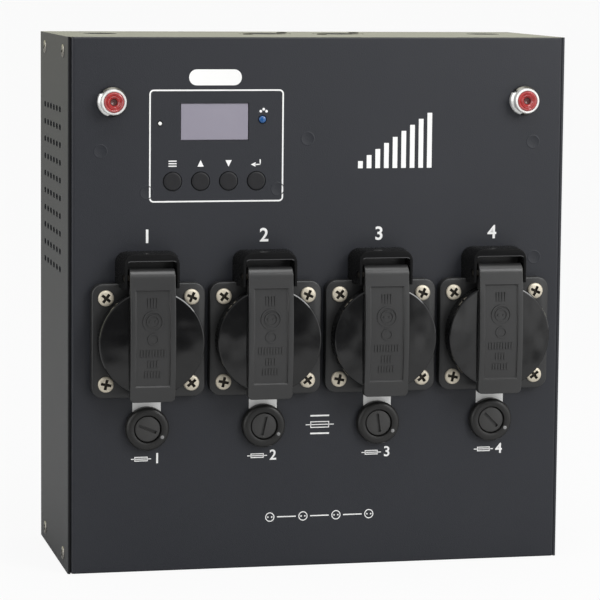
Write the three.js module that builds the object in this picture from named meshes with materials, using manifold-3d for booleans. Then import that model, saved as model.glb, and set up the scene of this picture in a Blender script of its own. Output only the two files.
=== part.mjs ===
// Four-channel dimmer pack: a wall or floor box with four lidded mains outlets, four fuses,
// two pilot lamps and a small control panel. Millimetres, +Z up, +X to the viewer's right.
// The front faces -Y. The origin is the middle of the base of the overall box.

import * as THREE from 'three';
import { mergeVertices } from 'three/addons/utils/BufferGeometryUtils.js';
import Module from 'manifold-3d';

const wasm = await Module();
wasm.setup();

// Sheet metal case. Its width and height follow from what its front carries.
const sheet = 1.2;
const bendInside = 0.4;
const caseDepth = 90;
const sideMarginLeft = 9.7;
const sideMarginRight = 7.7;
const lipDepth = 12;
const seamSetback = 0.6;
const studRadius = 2.5;

// Clearances
const seat = 0.05;
const sheetGap = 0.3;
const runGap = 0.3;
const overrun = 1;

// Side vents and back keyholes
const ventColumns = 6;
const ventRows = 10;
const ventLength = 5;
const ventHeight = 2.6;
const ventColumnPitch = 9.6;
const ventRowPitch = 7.9;
const ventFromBack = 16.7;
const ventFromTop = 32.7;
const keyholeHeadRadius = 4.5;
const keyholeNeckRadius = 2.25;
const keyholeRise = 9;
const keyholeInset = 37.5;
const keyholeFromTop = 30;

// Side screws
const sideScrewHeadRadius = 3;
const sideScrewHeadHeight = 1.7;
const sideScrewShankRadius = 1.5;
const sideScrewLength = 7;
const sideScrewFromEdge = 6.6;
const sideScrewFromFront = 15;
const sideScrewFromBack = 17;

// Mains outlets
const channelCount = 4;
const flangeMargin = 1.9;
const flangeGap = 2;
const flangeThickness = 5;
const flangeCorner = 5;
const fuseOutletGap = 4.7;
const collarWall = 3;
const collarHeight = 6.5;
const wellRadius = 19.75;
const wellDepth = 17.5;
const outletBackWall = 1.75;
const outletBackDepth = 22;
const contactRadius = 2.6;
const contactSpacing = 19;
const contactDepth = 12;
const earthSlotWidth = 6;
const earthSlotDepth = 1;
const flangeScrewInset = 6.2;
const flangeScrewRadius = 1.7;

// Hinge hood over each outlet
const cheekAtPanel = 3.4;
const cheekAtFront = 1.8;
const cheekGap = 0.8;
const hoodPastHinge = 2.5;
const hoodCorner = 5;
const hoodRoof = 3.4;
const hoodRoofGap = 3.1;
const hoodLidGap = 0.5;

// Outlet lids
const lidOverlap = 0.55;
const lidThickness = 2.5;
const lidRim = 0.7;
const strapWidth = 20;
const strapTail = 2.5;
const strapBow = 1.8;
const strapRib = 2.3;
const recessFromHinge = 8.8;
const recessFromEnd = 6.5;
const recessDepth = 0.6;
const hingeLidGap = 5;
const knuckleRadius = 4.2;
const hingePinRadius = 1.5;
const springPocketSide = 4.8;
const springPocketSkin = 0.9;
const springWire = 0.7;
const springTurns = 3;

// Fuse holders, their caps and fuses
const fuseRow = 64.4;
const fuseHeadLip = 2.1;
const fuseHeadHeight = 4;
const fuseHeadBevel = 1;
const fuseSideWall = 1.55;
const fuseBackWall = 2;
const fuseWingWidth = 5;
const fuseWingOut = 1.4;
const fuseWingDepth = 5;
const capRadius = 5.75;
const capRecess = 0.9;
const capSolidDepth = 6;
const capSkirtDepth = 7;
const capSlotLength = 8.4;
const capSlotWidth = 1.3;
const capSlotDepth = 1.1;
const capSlotTurns = [-22, 77, 98, -45];
const fuseTubeRadius = 2.2;
const fuseFerruleRadius = 2.55;
const fuseFerruleLength = 5;
const fuseLength = 20;

// Pilot lamps
const lampInset = 19.2;
const lampFromTop = 28.1;
const lampBaseStep = 0.9;
const lampBaseHeight = 2;
const lampRingWall = 0.7;
const lampRingHeight = 5;
const lampBodyStep = 0.6;
const lampBodyDepth = 22;
const lensRadius = 4.6;
const lensDome = 0.9;
const lensCup = 1.2;
const lensSeatDepth = 5.4;

// Control panel on the front, measured from the case's left side and from the outlet hoods
const controlLeft = 35.7;
const hoodButtonGap = 26.4;
const controlTop = 22.9;
const displayLeft = 13.8;
const displayTop = 5.9;
const displayWidth = 30.6;
const displayHeight = 16.5;
const displayRecess = 0.3;
const displayBorder = 1.8;
const displayPane = 1.4;
const displayBacking = 0.9;
const buttonNames = ['button_menu', 'button_up', 'button_down', 'button_enter'];
const buttonLeft = 10.4;
const buttonPitch = 12.5;
const displayButtonGap = 13.8;
const buttonRadius = 4;
const buttonProud = 0.5;
const buttonBevel = 0.4;
const buttonCollar = 1;
const buttonCollarDepth = 1;
const buttonStemRadius = 2.4;
const buttonTravel = 0.8;
const switchSide = 6.2;
const switchHeight = 2.7;
const displaySignalGap = 6.1;
const signalDrop = 13.2;
const signalRadius = 1.6;
const signalProud = 0.9;
const statusLeft = 4.8;
const statusDrop = 14.8;
const statusRadius = 1;
const statusProud = 0.2;
const ledFlange = 0.5;
const ledFlangeHeight = 2.4;

// Control board behind the panel
const boardThickness = 1.6;
const controlBoardStand = 6.8;
const controlBoardPastPanel = 3.6;
const controlBoardPastSignal = 10.9;
const controlBoardTop = 0.8;
const controlBoardUnderButtons = 8;
const boardStudInset = 3.4;

// Three-pin signal connectors in the top, and the two cable entries
const connectorPitch = 34.4;
const connectorMiddle = 116.3;
const connectorFromBack = 34;
const connectorHoleRadius = 12;
const connectorFlangeWidth = 26;
const connectorFlangeLength = 31;
const connectorFlangeThickness = 2;
const connectorBodyRadius = 11.2;
const connectorBodyDepth = 22;
const connectorBoreRadius = 9.65;
const connectorBoreDepth = 15;
const connectorInsertRadius = 7.7;
const connectorPinRadius = 1.2;
const connectorPinCircle = 5.4;
const connectorPinLength = 10;
const entryInset = 22.5;
const entryFromBack = 35;
const entryRadius = 7.75;

// Power board, transformer and terminal block on the back plate
const powerBoardHeight = 100;
const powerBoardInset = 12;
const powerBoardFromBase = 22;
const powerBoardStand = 8;
const chokeRadius = 9;
const chokeHeight = 11;
const chokeMargin = 6;
const chokeTransformerGap = 14;
const transformerWidth = 40;
const transformerHeight = 34;
const transformerDepth = 24;
const transformerCoreInset = 4;
const transformerCoreRise = 4;
const terminalWidth = 72;
const terminalHeight = 12;
const terminalDepth = 14;
const terminalNose = 5;
const terminalCount = 6;
const terminalHoleRadius = 1.9;
const terminalHoleDepth = 6;
const componentMargin = 8;

// Heat sink and its four power switches
const sinkInset = 9;
const sinkWidth = 68;
const sinkHeight = 112;
const sinkFromBase = 20;
const sinkBase = 4;
const sinkFinDepth = 24;
const sinkFinCount = 8;
const sinkFinShare = 0.3;
const sinkLand = 17;
const triacWidth = 10.2;
const triacHeight = 15.6;
const triacThickness = 4.5;
const triacTabRise = 6;
const triacTab = 1.3;
const triacLegLength = 6;
const triacLegWidth = 0.9;
const triacEdge = 8;

// Round shapes: sides of a full circle, by size
const sidesLarge = 24;
const sidesMedium = 16;
const sidesSmall = 10;
const sidesTiny = 6;

// Worked-out sizes, from the inside of an outlet and of a fuse holder outwards
const collarRadius = wellRadius + collarWall;
const outletBackRadius = wellRadius + outletBackWall;
const lidRadius = collarRadius + lidOverlap;
const flangeSide = 2 * (lidRadius + flangeMargin);
const flangeScrewSpacing = flangeSide - 2 * flangeScrewInset;
const hingeOut = flangeThickness + collarHeight;
const hingeRise = lidRadius + hingeLidGap;
const strapBelow = lidRadius + strapTail;
const recessWidth = strapWidth - 2 * strapRib;
const recessAbove = hingeRise - recessFromHinge;
const recessBelow = strapBelow - recessFromEnd;
const springPocketWidth = strapWidth - 2 * springPocketSide;
const hoodBaseWidth = strapWidth + 2 * (cheekGap + cheekAtPanel);
const hoodFrontWidth = strapWidth + 2 * (cheekGap + cheekAtFront);
const hoodOut = hingeOut + hoodPastHinge;
const hoodRise = hingeRise + knuckleRadius + hoodRoofGap + hoodRoof;
const hoodBottom = lidRadius + hoodLidGap;
const fuseBodyRadius = capRadius + runGap + fuseSideWall;
const fuseHeadRadius = fuseBodyRadius + fuseHeadLip;
const lampRingRadius = lensRadius + sheetGap + lampRingWall;
const lampBaseRadius = lampRingRadius + lampBaseStep;
const lampBodyRadius = lampRingRadius - lampBodyStep;
const outletRow = fuseRow + fuseHeadRadius + fuseOutletGap + flangeSide / 2;
const signalLeft = displayLeft + displayWidth + displaySignalGap;
const buttonDrop = displayTop + displayHeight + displayButtonGap + buttonRadius;

// Worked-out sizes of the case
const caseHeight = outletRow + hoodRise + hoodButtonGap + buttonRadius + buttonDrop + controlTop;
const caseWidth = sideMarginLeft + sideMarginRight
  + channelCount * flangeSide + (channelCount - 1) * flangeGap;
const halfWidth = caseWidth / 2;
const bendRadius = bendInside + sheet;
const coverHalfWidth = halfWidth - sheet - sheetGap;
const coverDepth = caseDepth - sheet - sheetGap;
const backInside = caseDepth - sheet;
const panelBack = sheet + seat;
const channelPitch = flangeSide + flangeGap;
const firstChannelX = sideMarginLeft + flangeSide / 2 - halfWidth;
const lidBack = -(flangeThickness + collarHeight + runGap);
const lidFront = lidBack - lidThickness;
const strapFront = -(hingeOut + knuckleRadius);
const frontReach = strapBow - strapFront;
const wellBottom = wellDepth - flangeThickness - collarHeight;
const capFront = capRecess - fuseHeadHeight;
const fuseFront = capFront + capSolidDepth + runGap;
const fuseBore = fuseFront + fuseLength + runGap;
const lampFront = lampBaseHeight + lampRingHeight;

function channelX(index) {
  return firstChannelX + index * channelPitch;
}

// Materials
function finish(color, roughness, metalness) {
  return new THREE.MeshStandardMaterial({ color, roughness, metalness });
}

const paint = finish(0x3c3f42, 0.55, 0.3);
const paintedChassis = finish(0x5c5d57, 0.6, 0.3);
const blackPlastic = finish(0x1c1c1d, 0.35, 0);
const capPlastic = finish(0x242423, 0.45, 0);
const steel = finish(0xb9b7b0, 0.3, 1);
const chrome = finish(0xd8d8d6, 0.15, 1);
const redLens = finish(0xa81f25, 0.2, 0);
const displayGlass = finish(0x97919f, 0.25, 0);
const blueLens = finish(0x2e62b0, 0.2, 0);
const whiteLens = finish(0xf2f2f0, 0.3, 0);
const clearGlass = finish(0xcfd6d6, 0.1, 0);
const boardGreen = finish(0x24563a, 0.5, 0);
const aluminium = finish(0xa9adb0, 0.4, 1);
const ironCore = finish(0x6d6a64, 0.5, 0.6);
const terminalGreen = finish(0x3f7d52, 0.45, 0);
const blackEpoxy = finish(0x1a1a1a, 0.5, 0);

// Solids from three.js geometry, and back
function toSolid(geometry) {
  const plain = geometry.clone();
  plain.deleteAttribute('normal');
  plain.deleteAttribute('uv');
  const merged = mergeVertices(plain);
  const corners = merged.index.array;
  const kept = [];
  for (let i = 0; i < corners.length; i += 3) {
    const [a, b, c] = [corners[i], corners[i + 1], corners[i + 2]];
    if (a !== b && b !== c && c !== a) kept.push(a, b, c);
  }
  if (signedVolume(merged.attributes.position, kept) < 0) kept.reverse();
  return new wasm.Manifold(new wasm.Mesh({
    numProp: 3,
    vertProperties: new Float32Array(merged.attributes.position.array),
    triVerts: new Uint32Array(kept),
  }));
}

function signedVolume(position, corners) {
  const [a, b, c] = [new THREE.Vector3(), new THREE.Vector3(), new THREE.Vector3()];
  let total = 0;
  for (let i = 0; i < corners.length; i += 3) {
    a.fromBufferAttribute(position, corners[i]);
    b.fromBufferAttribute(position, corners[i + 1]);
    c.fromBufferAttribute(position, corners[i + 2]);
    total += a.dot(b.cross(c));
  }
  return total;
}

function toGeometry(solid) {
  const mesh = solid.getMesh();
  const geometry = new THREE.BufferGeometry();
  geometry.setAttribute('position', new THREE.BufferAttribute(mesh.vertProperties, mesh.numProp));
  geometry.setIndex(new THREE.BufferAttribute(mesh.triVerts, 1));
  geometry.computeVertexNormals();
  return geometry;
}

function block(x, y, z) {
  const geometry = new THREE.BoxGeometry(x[1] - x[0], y[1] - y[0], z[1] - z[0]);
  geometry.translate((x[0] + x[1]) / 2, (y[0] + y[1]) / 2, (z[0] + z[1]) / 2);
  return toSolid(geometry);
}

function around(middle, width) {
  return [middle - width / 2, middle + width / 2];
}

// A rod along Y, whose flats start level
function rodY(radius, y, x, z, sides) {
  const geometry = new THREE.CylinderGeometry(radius, radius, y[1] - y[0], sides);
  geometry.translate(x, (y[0] + y[1]) / 2, z);
  return toSolid(geometry);
}

function rodX(radius, x, y, z, sides) {
  const geometry = new THREE.CylinderGeometry(radius, radius, x[1] - x[0], sides);
  geometry.rotateZ(Math.PI / 2);
  geometry.translate((x[0] + x[1]) / 2, y, z);
  return toSolid(geometry);
}

function rodZ(radius, z, x, y, sides) {
  const geometry = new THREE.CylinderGeometry(radius, radius, z[1] - z[0], sides);
  geometry.rotateX(Math.PI / 2);
  geometry.translate(x, y, (z[0] + z[1]) / 2);
  return toSolid(geometry);
}

// A turned solid about the Y axis. The profile is a list of radius and depth pairs.
function turnedY(profile, sides) {
  const points = profile.map(([radius, y]) => new THREE.Vector2(radius, y));
  return toSolid(new THREE.LatheGeometry(points, sides));
}

// A plate with rounded corners in the XY plane of its own, extruded along Z
function roundedPrism(width, height, radius, length, cornerSteps) {
  const [x, y] = [width / 2, height / 2];
  const outline = new THREE.Shape();
  outline.moveTo(x - radius, -y);
  outline.absarc(x - radius, radius - y, radius, -Math.PI / 2, 0);
  outline.absarc(x - radius, y - radius, radius, 0, Math.PI / 2);
  outline.absarc(radius - x, y - radius, radius, Math.PI / 2, Math.PI);
  outline.absarc(radius - x, radius - y, radius, Math.PI, Math.PI * 1.5);
  const geometry = new THREE.ExtrudeGeometry(outline, {
    depth: length, bevelEnabled: false, curveSegments: cornerSteps,
  });
  geometry.translate(0, 0, -length / 2);
  return geometry;
}

// Extrudes a list of Y and Z pairs along X
function profileX(points, x) {
  const outline = new THREE.Shape(points.map(([y, z]) => new THREE.Vector2(y, z)));
  const geometry = new THREE.ExtrudeGeometry(outline, { depth: x[1] - x[0], bevelEnabled: false });
  geometry.rotateY(Math.PI / 2);
  geometry.rotateX(Math.PI / 2);
  geometry.translate(x[0], 0, 0);
  return toSolid(geometry);
}

// A plate with rounded corners that faces along Y
function plateXZ(width, height, radius, y, cornerSteps) {
  const geometry = roundedPrism(width, height, radius, y[1] - y[0], cornerSteps);
  geometry.rotateX(Math.PI / 2);
  geometry.translate(0, (y[0] + y[1]) / 2, 0);
  return toSolid(geometry);
}

function joined(solids) {
  return solids.reduce((sum, solid) => sum.add(solid));
}

const caseGroup = new THREE.Group();

function piece(name, solid, material, parent = caseGroup) {
  const mesh = new THREE.Mesh(toGeometry(solid), material);
  mesh.name = name;
  parent.add(mesh);
  return mesh;
}

// Places used by more than one piece, as X and Z on the front
const controlX = controlLeft - halfWidth;
const controlZ = caseHeight - controlTop;
const displayX = around(controlX + displayLeft + displayWidth / 2, displayWidth);
const displayZ = around(controlZ - displayTop - displayHeight / 2, displayHeight);
const buttonZ = controlZ - buttonDrop;
const signalX = controlX + signalLeft;
const signalZ = controlZ - signalDrop;
const statusX = controlX + statusLeft;
const statusZ = controlZ - statusDrop;
const controlBoardX = [controlX - controlBoardPastPanel, signalX + controlBoardPastSignal];
const controlBoardZ = [buttonZ - controlBoardUnderButtons, controlZ - controlBoardTop];
const controlBoardFront = sheet + controlBoardStand;
const lampX = halfWidth - lampInset;
const lampZ = caseHeight - lampFromTop;
const connectorY = caseDepth - connectorFromBack;
const entryX = halfWidth - entryInset;
const entryY = caseDepth - entryFromBack;
const chokePitch = 2 * chokeRadius + chokeMargin;
const powerBoardWidth = transformerWidth + chokeTransformerGap + chokePitch + 2 * chokeRadius
  + 2 * componentMargin;
const powerBoardX = [powerBoardInset - halfWidth, powerBoardInset - halfWidth + powerBoardWidth];
const powerBoardZ = [powerBoardFromBase, powerBoardFromBase + powerBoardHeight];
const powerBoardBack = backInside - powerBoardStand - seat;
const powerBoardFront = powerBoardBack - boardThickness;
const sideScrewPlaces = [sideScrewFromFront, caseDepth - sideScrewFromBack].flatMap((y) => (
  [sideScrewFromEdge, caseHeight - sideScrewFromEdge].map((z) => [y, z])));
const connectorPlaces = [-1, 1].map((side) => (
  connectorMiddle - halfWidth - connectorPitch / 2 + (side + 1) / 2 * connectorPitch));

function buttonX(index) {
  return controlX + buttonLeft + index * buttonPitch;
}

// The four stud places of a board, from its ranges in X and Z
function studPlaces(x, z) {
  const [left, right] = [x[0] + boardStudInset, x[1] - boardStudInset];
  const [low, high] = [z[0] + boardStudInset, z[1] - boardStudInset];
  return [[left, low], [right, low], [left, high], [right, high]];
}

// A rounded box whose front is at Y = inset, long enough to be cut off at the back
function coverBox(inset, cornerSteps) {
  const radius = bendRadius - inset;
  const wide = 2 * (coverHalfWidth - inset);
  const tall = caseHeight - 2 * inset;
  const long = 2 * caseDepth;
  const seenFromTop = roundedPrism(wide, long, radius, tall, cornerSteps);
  const seenFromFront = roundedPrism(wide, tall, radius, long, cornerSteps);
  seenFromFront.rotateX(Math.PI / 2);
  const seenFromSide = roundedPrism(long, tall, radius, wide, cornerSteps);
  seenFromSide.rotateX(Math.PI / 2);
  seenFromSide.rotateZ(Math.PI / 2);
  const views = [seenFromTop, seenFromFront, seenFromSide].map((geometry) => {
    geometry.translate(0, inset + long / 2, caseHeight / 2);
    return toSolid(geometry);
  });
  return views.reduce((sum, solid) => sum.intersect(solid));
}

// Front cover: one bent sheet with the front, the top and the base, and a lip along each side
function frontCover() {
  const behind = block(
    [-halfWidth, halfWidth], [coverDepth, 4 * caseDepth], [-overrun, caseHeight + overrun]);
  const betweenLips = block(
    [-halfWidth, halfWidth], [lipDepth, 4 * caseDepth], [lipDepth, caseHeight - lipDepth]);
  const studs = studPlaces(controlBoardX, controlBoardZ).map(([x, z]) => (
    rodY(studRadius, [sheet / 2, controlBoardFront - seat], x, z, sidesTiny)));
  return coverBox(0, 3).subtract(behind).subtract(coverBox(sheet, 1)).subtract(betweenLips)
    .add(joined(studs)).subtract(joined(coverHoles()));
}

function coverHoles() {
  const through = [-overrun, sheet + overrun];
  const holes = [];
  const hole = (radius, x, z, sides) => holes.push(rodY(radius, through, x, z, sides));
  for (let i = 0; i < channelCount; i += 1) {
    hole(outletBackRadius + sheetGap, channelX(i), outletRow, sidesLarge);
    hole(fuseBodyRadius + sheetGap, channelX(i), fuseRow, sidesMedium);
    for (const [x, z] of flangeScrewPlaces()) {
      hole(flangeScrewRadius, channelX(i) + x, outletRow + z, sidesTiny);
    }
  }
  for (const side of [-1, 1]) hole(lampBodyRadius + sheetGap, side * lampX, lampZ, sidesMedium);
  buttonNames.forEach((name, i) => hole(buttonRadius + runGap, buttonX(i), buttonZ, sidesMedium));
  hole(signalRadius + sheetGap, signalX, signalZ, sidesSmall);
  hole(statusRadius + sheetGap, statusX, statusZ, sidesTiny);
  holes.push(block(displayX, through, displayZ));
  const topPlate = [caseHeight - sheet - overrun, caseHeight + overrun];
  for (const x of connectorPlaces) {
    holes.push(rodZ(connectorHoleRadius, topPlate, x, connectorY, sidesLarge));
  }
  for (const side of [-1, 1]) {
    holes.push(rodZ(entryRadius, topPlate, side * entryX, entryY, sidesMedium));
  }
  holes.push(...sideScrewHoles());
  return holes;
}

function flangeScrewPlaces() {
  const half = flangeScrewSpacing / 2;
  return [[-half, -half], [half, -half], [-half, half], [half, half]];
}

function sideScrewHoles() {
  const acrossCase = [-halfWidth - overrun, halfWidth + overrun];
  return sideScrewPlaces.map(([y, z]) => (
    rodX(sideScrewShankRadius + sheetGap, acrossCase, y, z, sidesTiny)));
}

// Rear chassis: the back and both sides, bent from one sheet and open at the front
function rearChassis() {
  const steps = 3;
  const outside = toSolid(standing(roundedPrism(
    caseWidth, 2 * caseDepth, bendRadius, caseHeight, steps)));
  const inside = toSolid(standing(roundedPrism(
    caseWidth - 2 * sheet, 2 * backInside, bendInside, caseHeight + 2 * overrun, 1)));
  const ahead = block(
    [-caseWidth, caseWidth], [-2 * caseDepth, seamSetback], [-overrun, caseHeight + overrun]);
  const boardStuds = studPlaces(powerBoardX, powerBoardZ).map(([x, z]) => (
    rodY(studRadius, [powerBoardBack + seat, backInside + sheet / 2], x, z, sidesTiny)));
  return outside.subtract(inside).subtract(ahead).add(joined(boardStuds))
    .subtract(joined([...ventSlots(), ...keyholes(), ...sideScrewHoles()]));
}

function standing(geometry) {
  geometry.translate(0, 0, caseHeight / 2);
  return geometry;
}

function ventSlots() {
  const slots = [];
  for (let column = 0; column < ventColumns; column += 1) {
    for (let row = 0; row < ventRows; row += 1) {
      const y = caseDepth - ventFromBack - column * ventColumnPitch;
      const z = caseHeight - ventFromTop - row * ventRowPitch;
      slots.push(block([-caseWidth, caseWidth], around(y, ventLength), around(z, ventHeight)));
    }
  }
  return slots;
}

function keyholes() {
  const through = [backInside - overrun, caseDepth + overrun];
  const z = caseHeight - keyholeFromTop;
  return [-1, 1].flatMap((side) => {
    const x = side * (halfWidth - keyholeInset);
    return [
      rodY(keyholeHeadRadius, through, x, z, sidesSmall),
      block(around(x, 2 * keyholeNeckRadius), through, [z, z + keyholeRise]),
      rodY(keyholeNeckRadius, through, x, z + keyholeRise, sidesTiny),
    ];
  });
}

// A pan-head screw along Y. Its head is in front of Y = 0.
function sideScrew() {
  const [radius, height] = [sideScrewHeadRadius, sideScrewHeadHeight];
  const domeShares = [[0.5, 1], [0.88, 0.7], [1, 0.25]];
  return turnedY([
    [0, -height],
    ...domeShares.map(([out, up]) => [radius * out, -height * up]),
    [radius, -seat],
    [sideScrewShankRadius, -seat],
    [sideScrewShankRadius, sideScrewLength],
    [0, sideScrewLength],
  ], sidesSmall);
}

// Mains outlet, about its own middle: flange, collar, well and the hood that holds the hinge
function outlet() {
  const collarFront = -flangeThickness - collarHeight;
  const bodies = [
    plateXZ(flangeSide, flangeSide, flangeCorner, [-flangeThickness, -seat], 3),
    rodY(collarRadius, [collarFront, -flangeThickness / 2], 0, 0, sidesLarge),
    rodY(outletBackRadius, [-flangeThickness / 2, outletBackDepth], 0, 0, sidesLarge),
    hood(),
  ];
  const cheekInside = strapWidth / 2 + cheekGap;
  const cuts = [
    rodY(wellRadius, [collarFront - overrun, wellBottom], 0, 0, sidesLarge),
    block([-cheekInside, cheekInside], [-hoodOut - overrun, -flangeThickness],
      [hoodBottom - overrun, hoodRise - hoodRoof]),
    rodX(hingePinRadius + runGap, [-hoodBaseWidth, hoodBaseWidth], -hingeOut, hingeRise, sidesSmall),
  ];
  for (const side of [-1, 1]) {
    cuts.push(rodY(contactRadius, [wellBottom - overrun, wellBottom + contactDepth],
      side * contactSpacing / 2, 0, sidesSmall));
    cuts.push(block(around(0, earthSlotWidth), [-flangeThickness, wellBottom],
      around(side * wellRadius, 2 * earthSlotDepth)));
  }
  for (const [x, z] of flangeScrewPlaces()) {
    cuts.push(rodY(flangeScrewRadius, [-flangeThickness - overrun, overrun], x, z, sidesTiny));
  }
  return joined(bodies).subtract(joined(cuts));
}

// The hood narrows from the panel to its front. Its top corners are round.
function hood() {
  const half = hoodBaseWidth / 2;
  const outline = new THREE.Shape();
  outline.moveTo(-half, hoodBottom);
  outline.lineTo(half, hoodBottom);
  outline.absarc(half - hoodCorner, hoodRise - hoodCorner, hoodCorner, 0, Math.PI / 2);
  outline.absarc(hoodCorner - half, hoodRise - hoodCorner, hoodCorner, Math.PI / 2, Math.PI);
  const length = hoodOut - seat;
  const geometry = new THREE.ExtrudeGeometry(outline, {
    depth: length, bevelEnabled: false, curveSegments: 4,
  });
  const position = geometry.attributes.position;
  for (let i = 0; i < position.count; i += 1) {
    const widthShare = position.getZ(i) > length / 2 ? hoodFrontWidth / hoodBaseWidth : 1;
    position.setX(i, position.getX(i) * widthShare);
  }
  geometry.rotateX(Math.PI / 2);
  geometry.translate(0, -seat, 0);
  return toSolid(geometry);
}

// The bowed front of the strap as Y and Z pairs from the hinge down, moved back by an inset
function strapCurve(inset, fromZ, toZ) {
  const steps = 8;
  const points = [];
  for (let i = 0; i <= steps; i += 1) {
    const z = fromZ + (toZ - fromZ) * i / steps;
    const share = (hingeRise - z) / (hingeRise + strapBelow);
    points.push([strapFront - strapBow * 4 * share * (1 - share) + inset, z]);
  }
  return points;
}

// Lid: a disc that covers the collar, and a strap across it that ends in the hinge knuckle
function lid() {
  const halfStrap = strapWidth / 2;
  const disc = turnedY([
    [0, lidBack],
    [lidRadius, lidBack],
    [lidRadius, lidFront + lidRim],
    [lidRadius - lidRim, lidFront],
    [0, lidFront],
  ], sidesLarge);
  const strap = profileX(
    [...strapCurve(0, hingeRise, -strapBelow), [lidBack, -strapBelow], [lidBack, hingeRise]],
    [-halfStrap, halfStrap]);
  const knuckle = rodX(knuckleRadius, [-halfStrap, halfStrap], -hingeOut, hingeRise, sidesMedium);
  const pocketRadius = knuckleRadius - springPocketSkin;
  const pocketX = around(0, springPocketWidth);
  const recess = profileX([
    ...strapCurve(recessDepth, recessAbove, -recessBelow),
    [-frontReach - overrun, -recessBelow],
    [-frontReach - overrun, recessAbove],
  ], around(0, recessWidth));
  return joined([disc, strap, knuckle]).subtract(joined([
    rodX(hingePinRadius + runGap, [-strapWidth, strapWidth], -hingeOut, hingeRise, sidesSmall),
    rodX(pocketRadius, pocketX, -hingeOut, hingeRise, sidesMedium),
    block(pocketX, [-hingeOut, knuckleRadius + overrun - hingeOut], around(hingeRise, pocketRadius)),
    recess,
  ]));
}

function hingePin() {
  return rodX(hingePinRadius, around(0, hoodFrontWidth), -hingeOut, hingeRise, sidesSmall);
}

// The lid spring's path round the hinge pin
class SpringPath extends THREE.Curve {
  getPoint(t) {
    const angle = t * springTurns * 2 * Math.PI;
    const radius = hingePinRadius + runGap + springWire / 2;
    const run = springPocketWidth - 2 * springWire;
    return new THREE.Vector3(
      (t - 0.5) * run, radius * Math.cos(angle) - hingeOut, radius * Math.sin(angle) + hingeRise);
  }
}

function lidSpring() {
  const wireSides = 5;
  const stepsPerTurn = 8;
  const section = new THREE.Shape();
  for (let i = 0; i < wireSides; i += 1) {
    const angle = 2 * Math.PI * i / wireSides;
    const [x, y] = [springWire / 2 * Math.cos(angle), springWire / 2 * Math.sin(angle)];
    if (i === 0) section.moveTo(x, y);
    else section.lineTo(x, y);
  }
  return toSolid(new THREE.ExtrudeGeometry(section, {
    steps: springTurns * stepsPerTurn, extrudePath: new SpringPath(),
  }));
}

// Fuse holder, about its own axis: round head, barrel through the panel and two snap wings
function fuseHolder() {
  const holder = turnedY([
    [0, fuseBore + fuseBackWall],
    [fuseBodyRadius, fuseBore + fuseBackWall],
    [fuseBodyRadius, -seat],
    [fuseHeadRadius, -seat],
    [fuseHeadRadius, fuseHeadBevel - fuseHeadHeight],
    [fuseHeadRadius - fuseHeadBevel, -fuseHeadHeight],
    [capRadius + runGap, -fuseHeadHeight],
    [capRadius + runGap, fuseBore],
    [0, fuseBore],
  ], sidesMedium);
  const wingRoot = fuseBodyRadius - fuseWingOut / 2;
  const wings = [-1, 1].map((side) => block(
    around(side * (wingRoot + fuseBodyRadius + fuseWingOut) / 2, fuseBodyRadius + fuseWingOut - wingRoot),
    [panelBack, panelBack + fuseWingDepth], around(0, fuseWingWidth)));
  return joined([holder, ...wings]);
}

// The cap holds the front end of its fuse in a skirt and has a slot for a screwdriver
function fuseCap() {
  const skirtInside = fuseFerruleRadius + runGap;
  const cap = turnedY([
    [0, capFront],
    [capRadius, capFront],
    [capRadius, capFront + capSolidDepth + capSkirtDepth],
    [skirtInside, capFront + capSolidDepth + capSkirtDepth],
    [skirtInside, capFront + capSolidDepth],
    [0, capFront + capSolidDepth],
  ], sidesMedium);
  return cap.subtract(block(around(0, capSlotLength), [capFront - overrun, capFront + capSlotDepth],
    around(0, capSlotWidth)));
}

function fuse() {
  const end = fuseFront + fuseLength;
  return turnedY([
    [0, fuseFront],
    [fuseFerruleRadius, fuseFront],
    [fuseFerruleRadius, fuseFront + fuseFerruleLength],
    [fuseTubeRadius, fuseFront + fuseFerruleLength],
    [fuseTubeRadius, end - fuseFerruleLength],
    [fuseFerruleRadius, end - fuseFerruleLength],
    [fuseFerruleRadius, end],
    [0, end],
  ], sidesTiny);
}

// Pilot lamp, about its own axis: stepped metal bezel with its lamp body behind the panel
function lampBezel() {
  return turnedY([
    [0, lampBodyDepth],
    [lampBodyRadius, lampBodyDepth],
    [lampBodyRadius, -seat],
    [lampBaseRadius, -seat],
    [lampBaseRadius, -lampBaseHeight],
    [lampRingRadius, -lampBaseHeight],
    [lampRingRadius, -lampFront],
    [lensRadius + sheetGap, -lampFront],
    [lensRadius + sheetGap, lensSeatDepth - lampFront],
    [0, lensSeatDepth - lampFront],
  ], sidesMedium);
}

// The lens bulges past its ring and dips to a small cup in the middle
function lampLens() {
  const crownShares = [[1, 0], [0.75, 1], [0.4, 0.8]];
  return turnedY([
    [0, lensSeatDepth - lampFront - sheetGap],
    [lensRadius, lensSeatDepth - lampFront - sheetGap],
    ...crownShares.map(([out, up]) => [lensRadius * out, -lampFront - lensDome * up]),
    [0, lensCup - lampFront],
  ], sidesMedium);
}

// Display module: a pane that steps into the window, and a block that rests on the control board
function displayModule() {
  const grown = (range, by) => [range[0] - by, range[1] + by];
  const pane = block(grown(displayX, displayBorder), [panelBack, panelBack + displayPane],
    grown(displayZ, displayBorder));
  const face = block(grown(displayX, -sheetGap), [displayRecess, panelBack + displayPane / 2],
    grown(displayZ, -sheetGap));
  const backing = block(grown(displayX, displayBacking),
    [panelBack + displayPane / 2, controlBoardFront - seat], grown(displayZ, displayBacking));
  return joined([pane, face, backing]);
}

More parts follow.
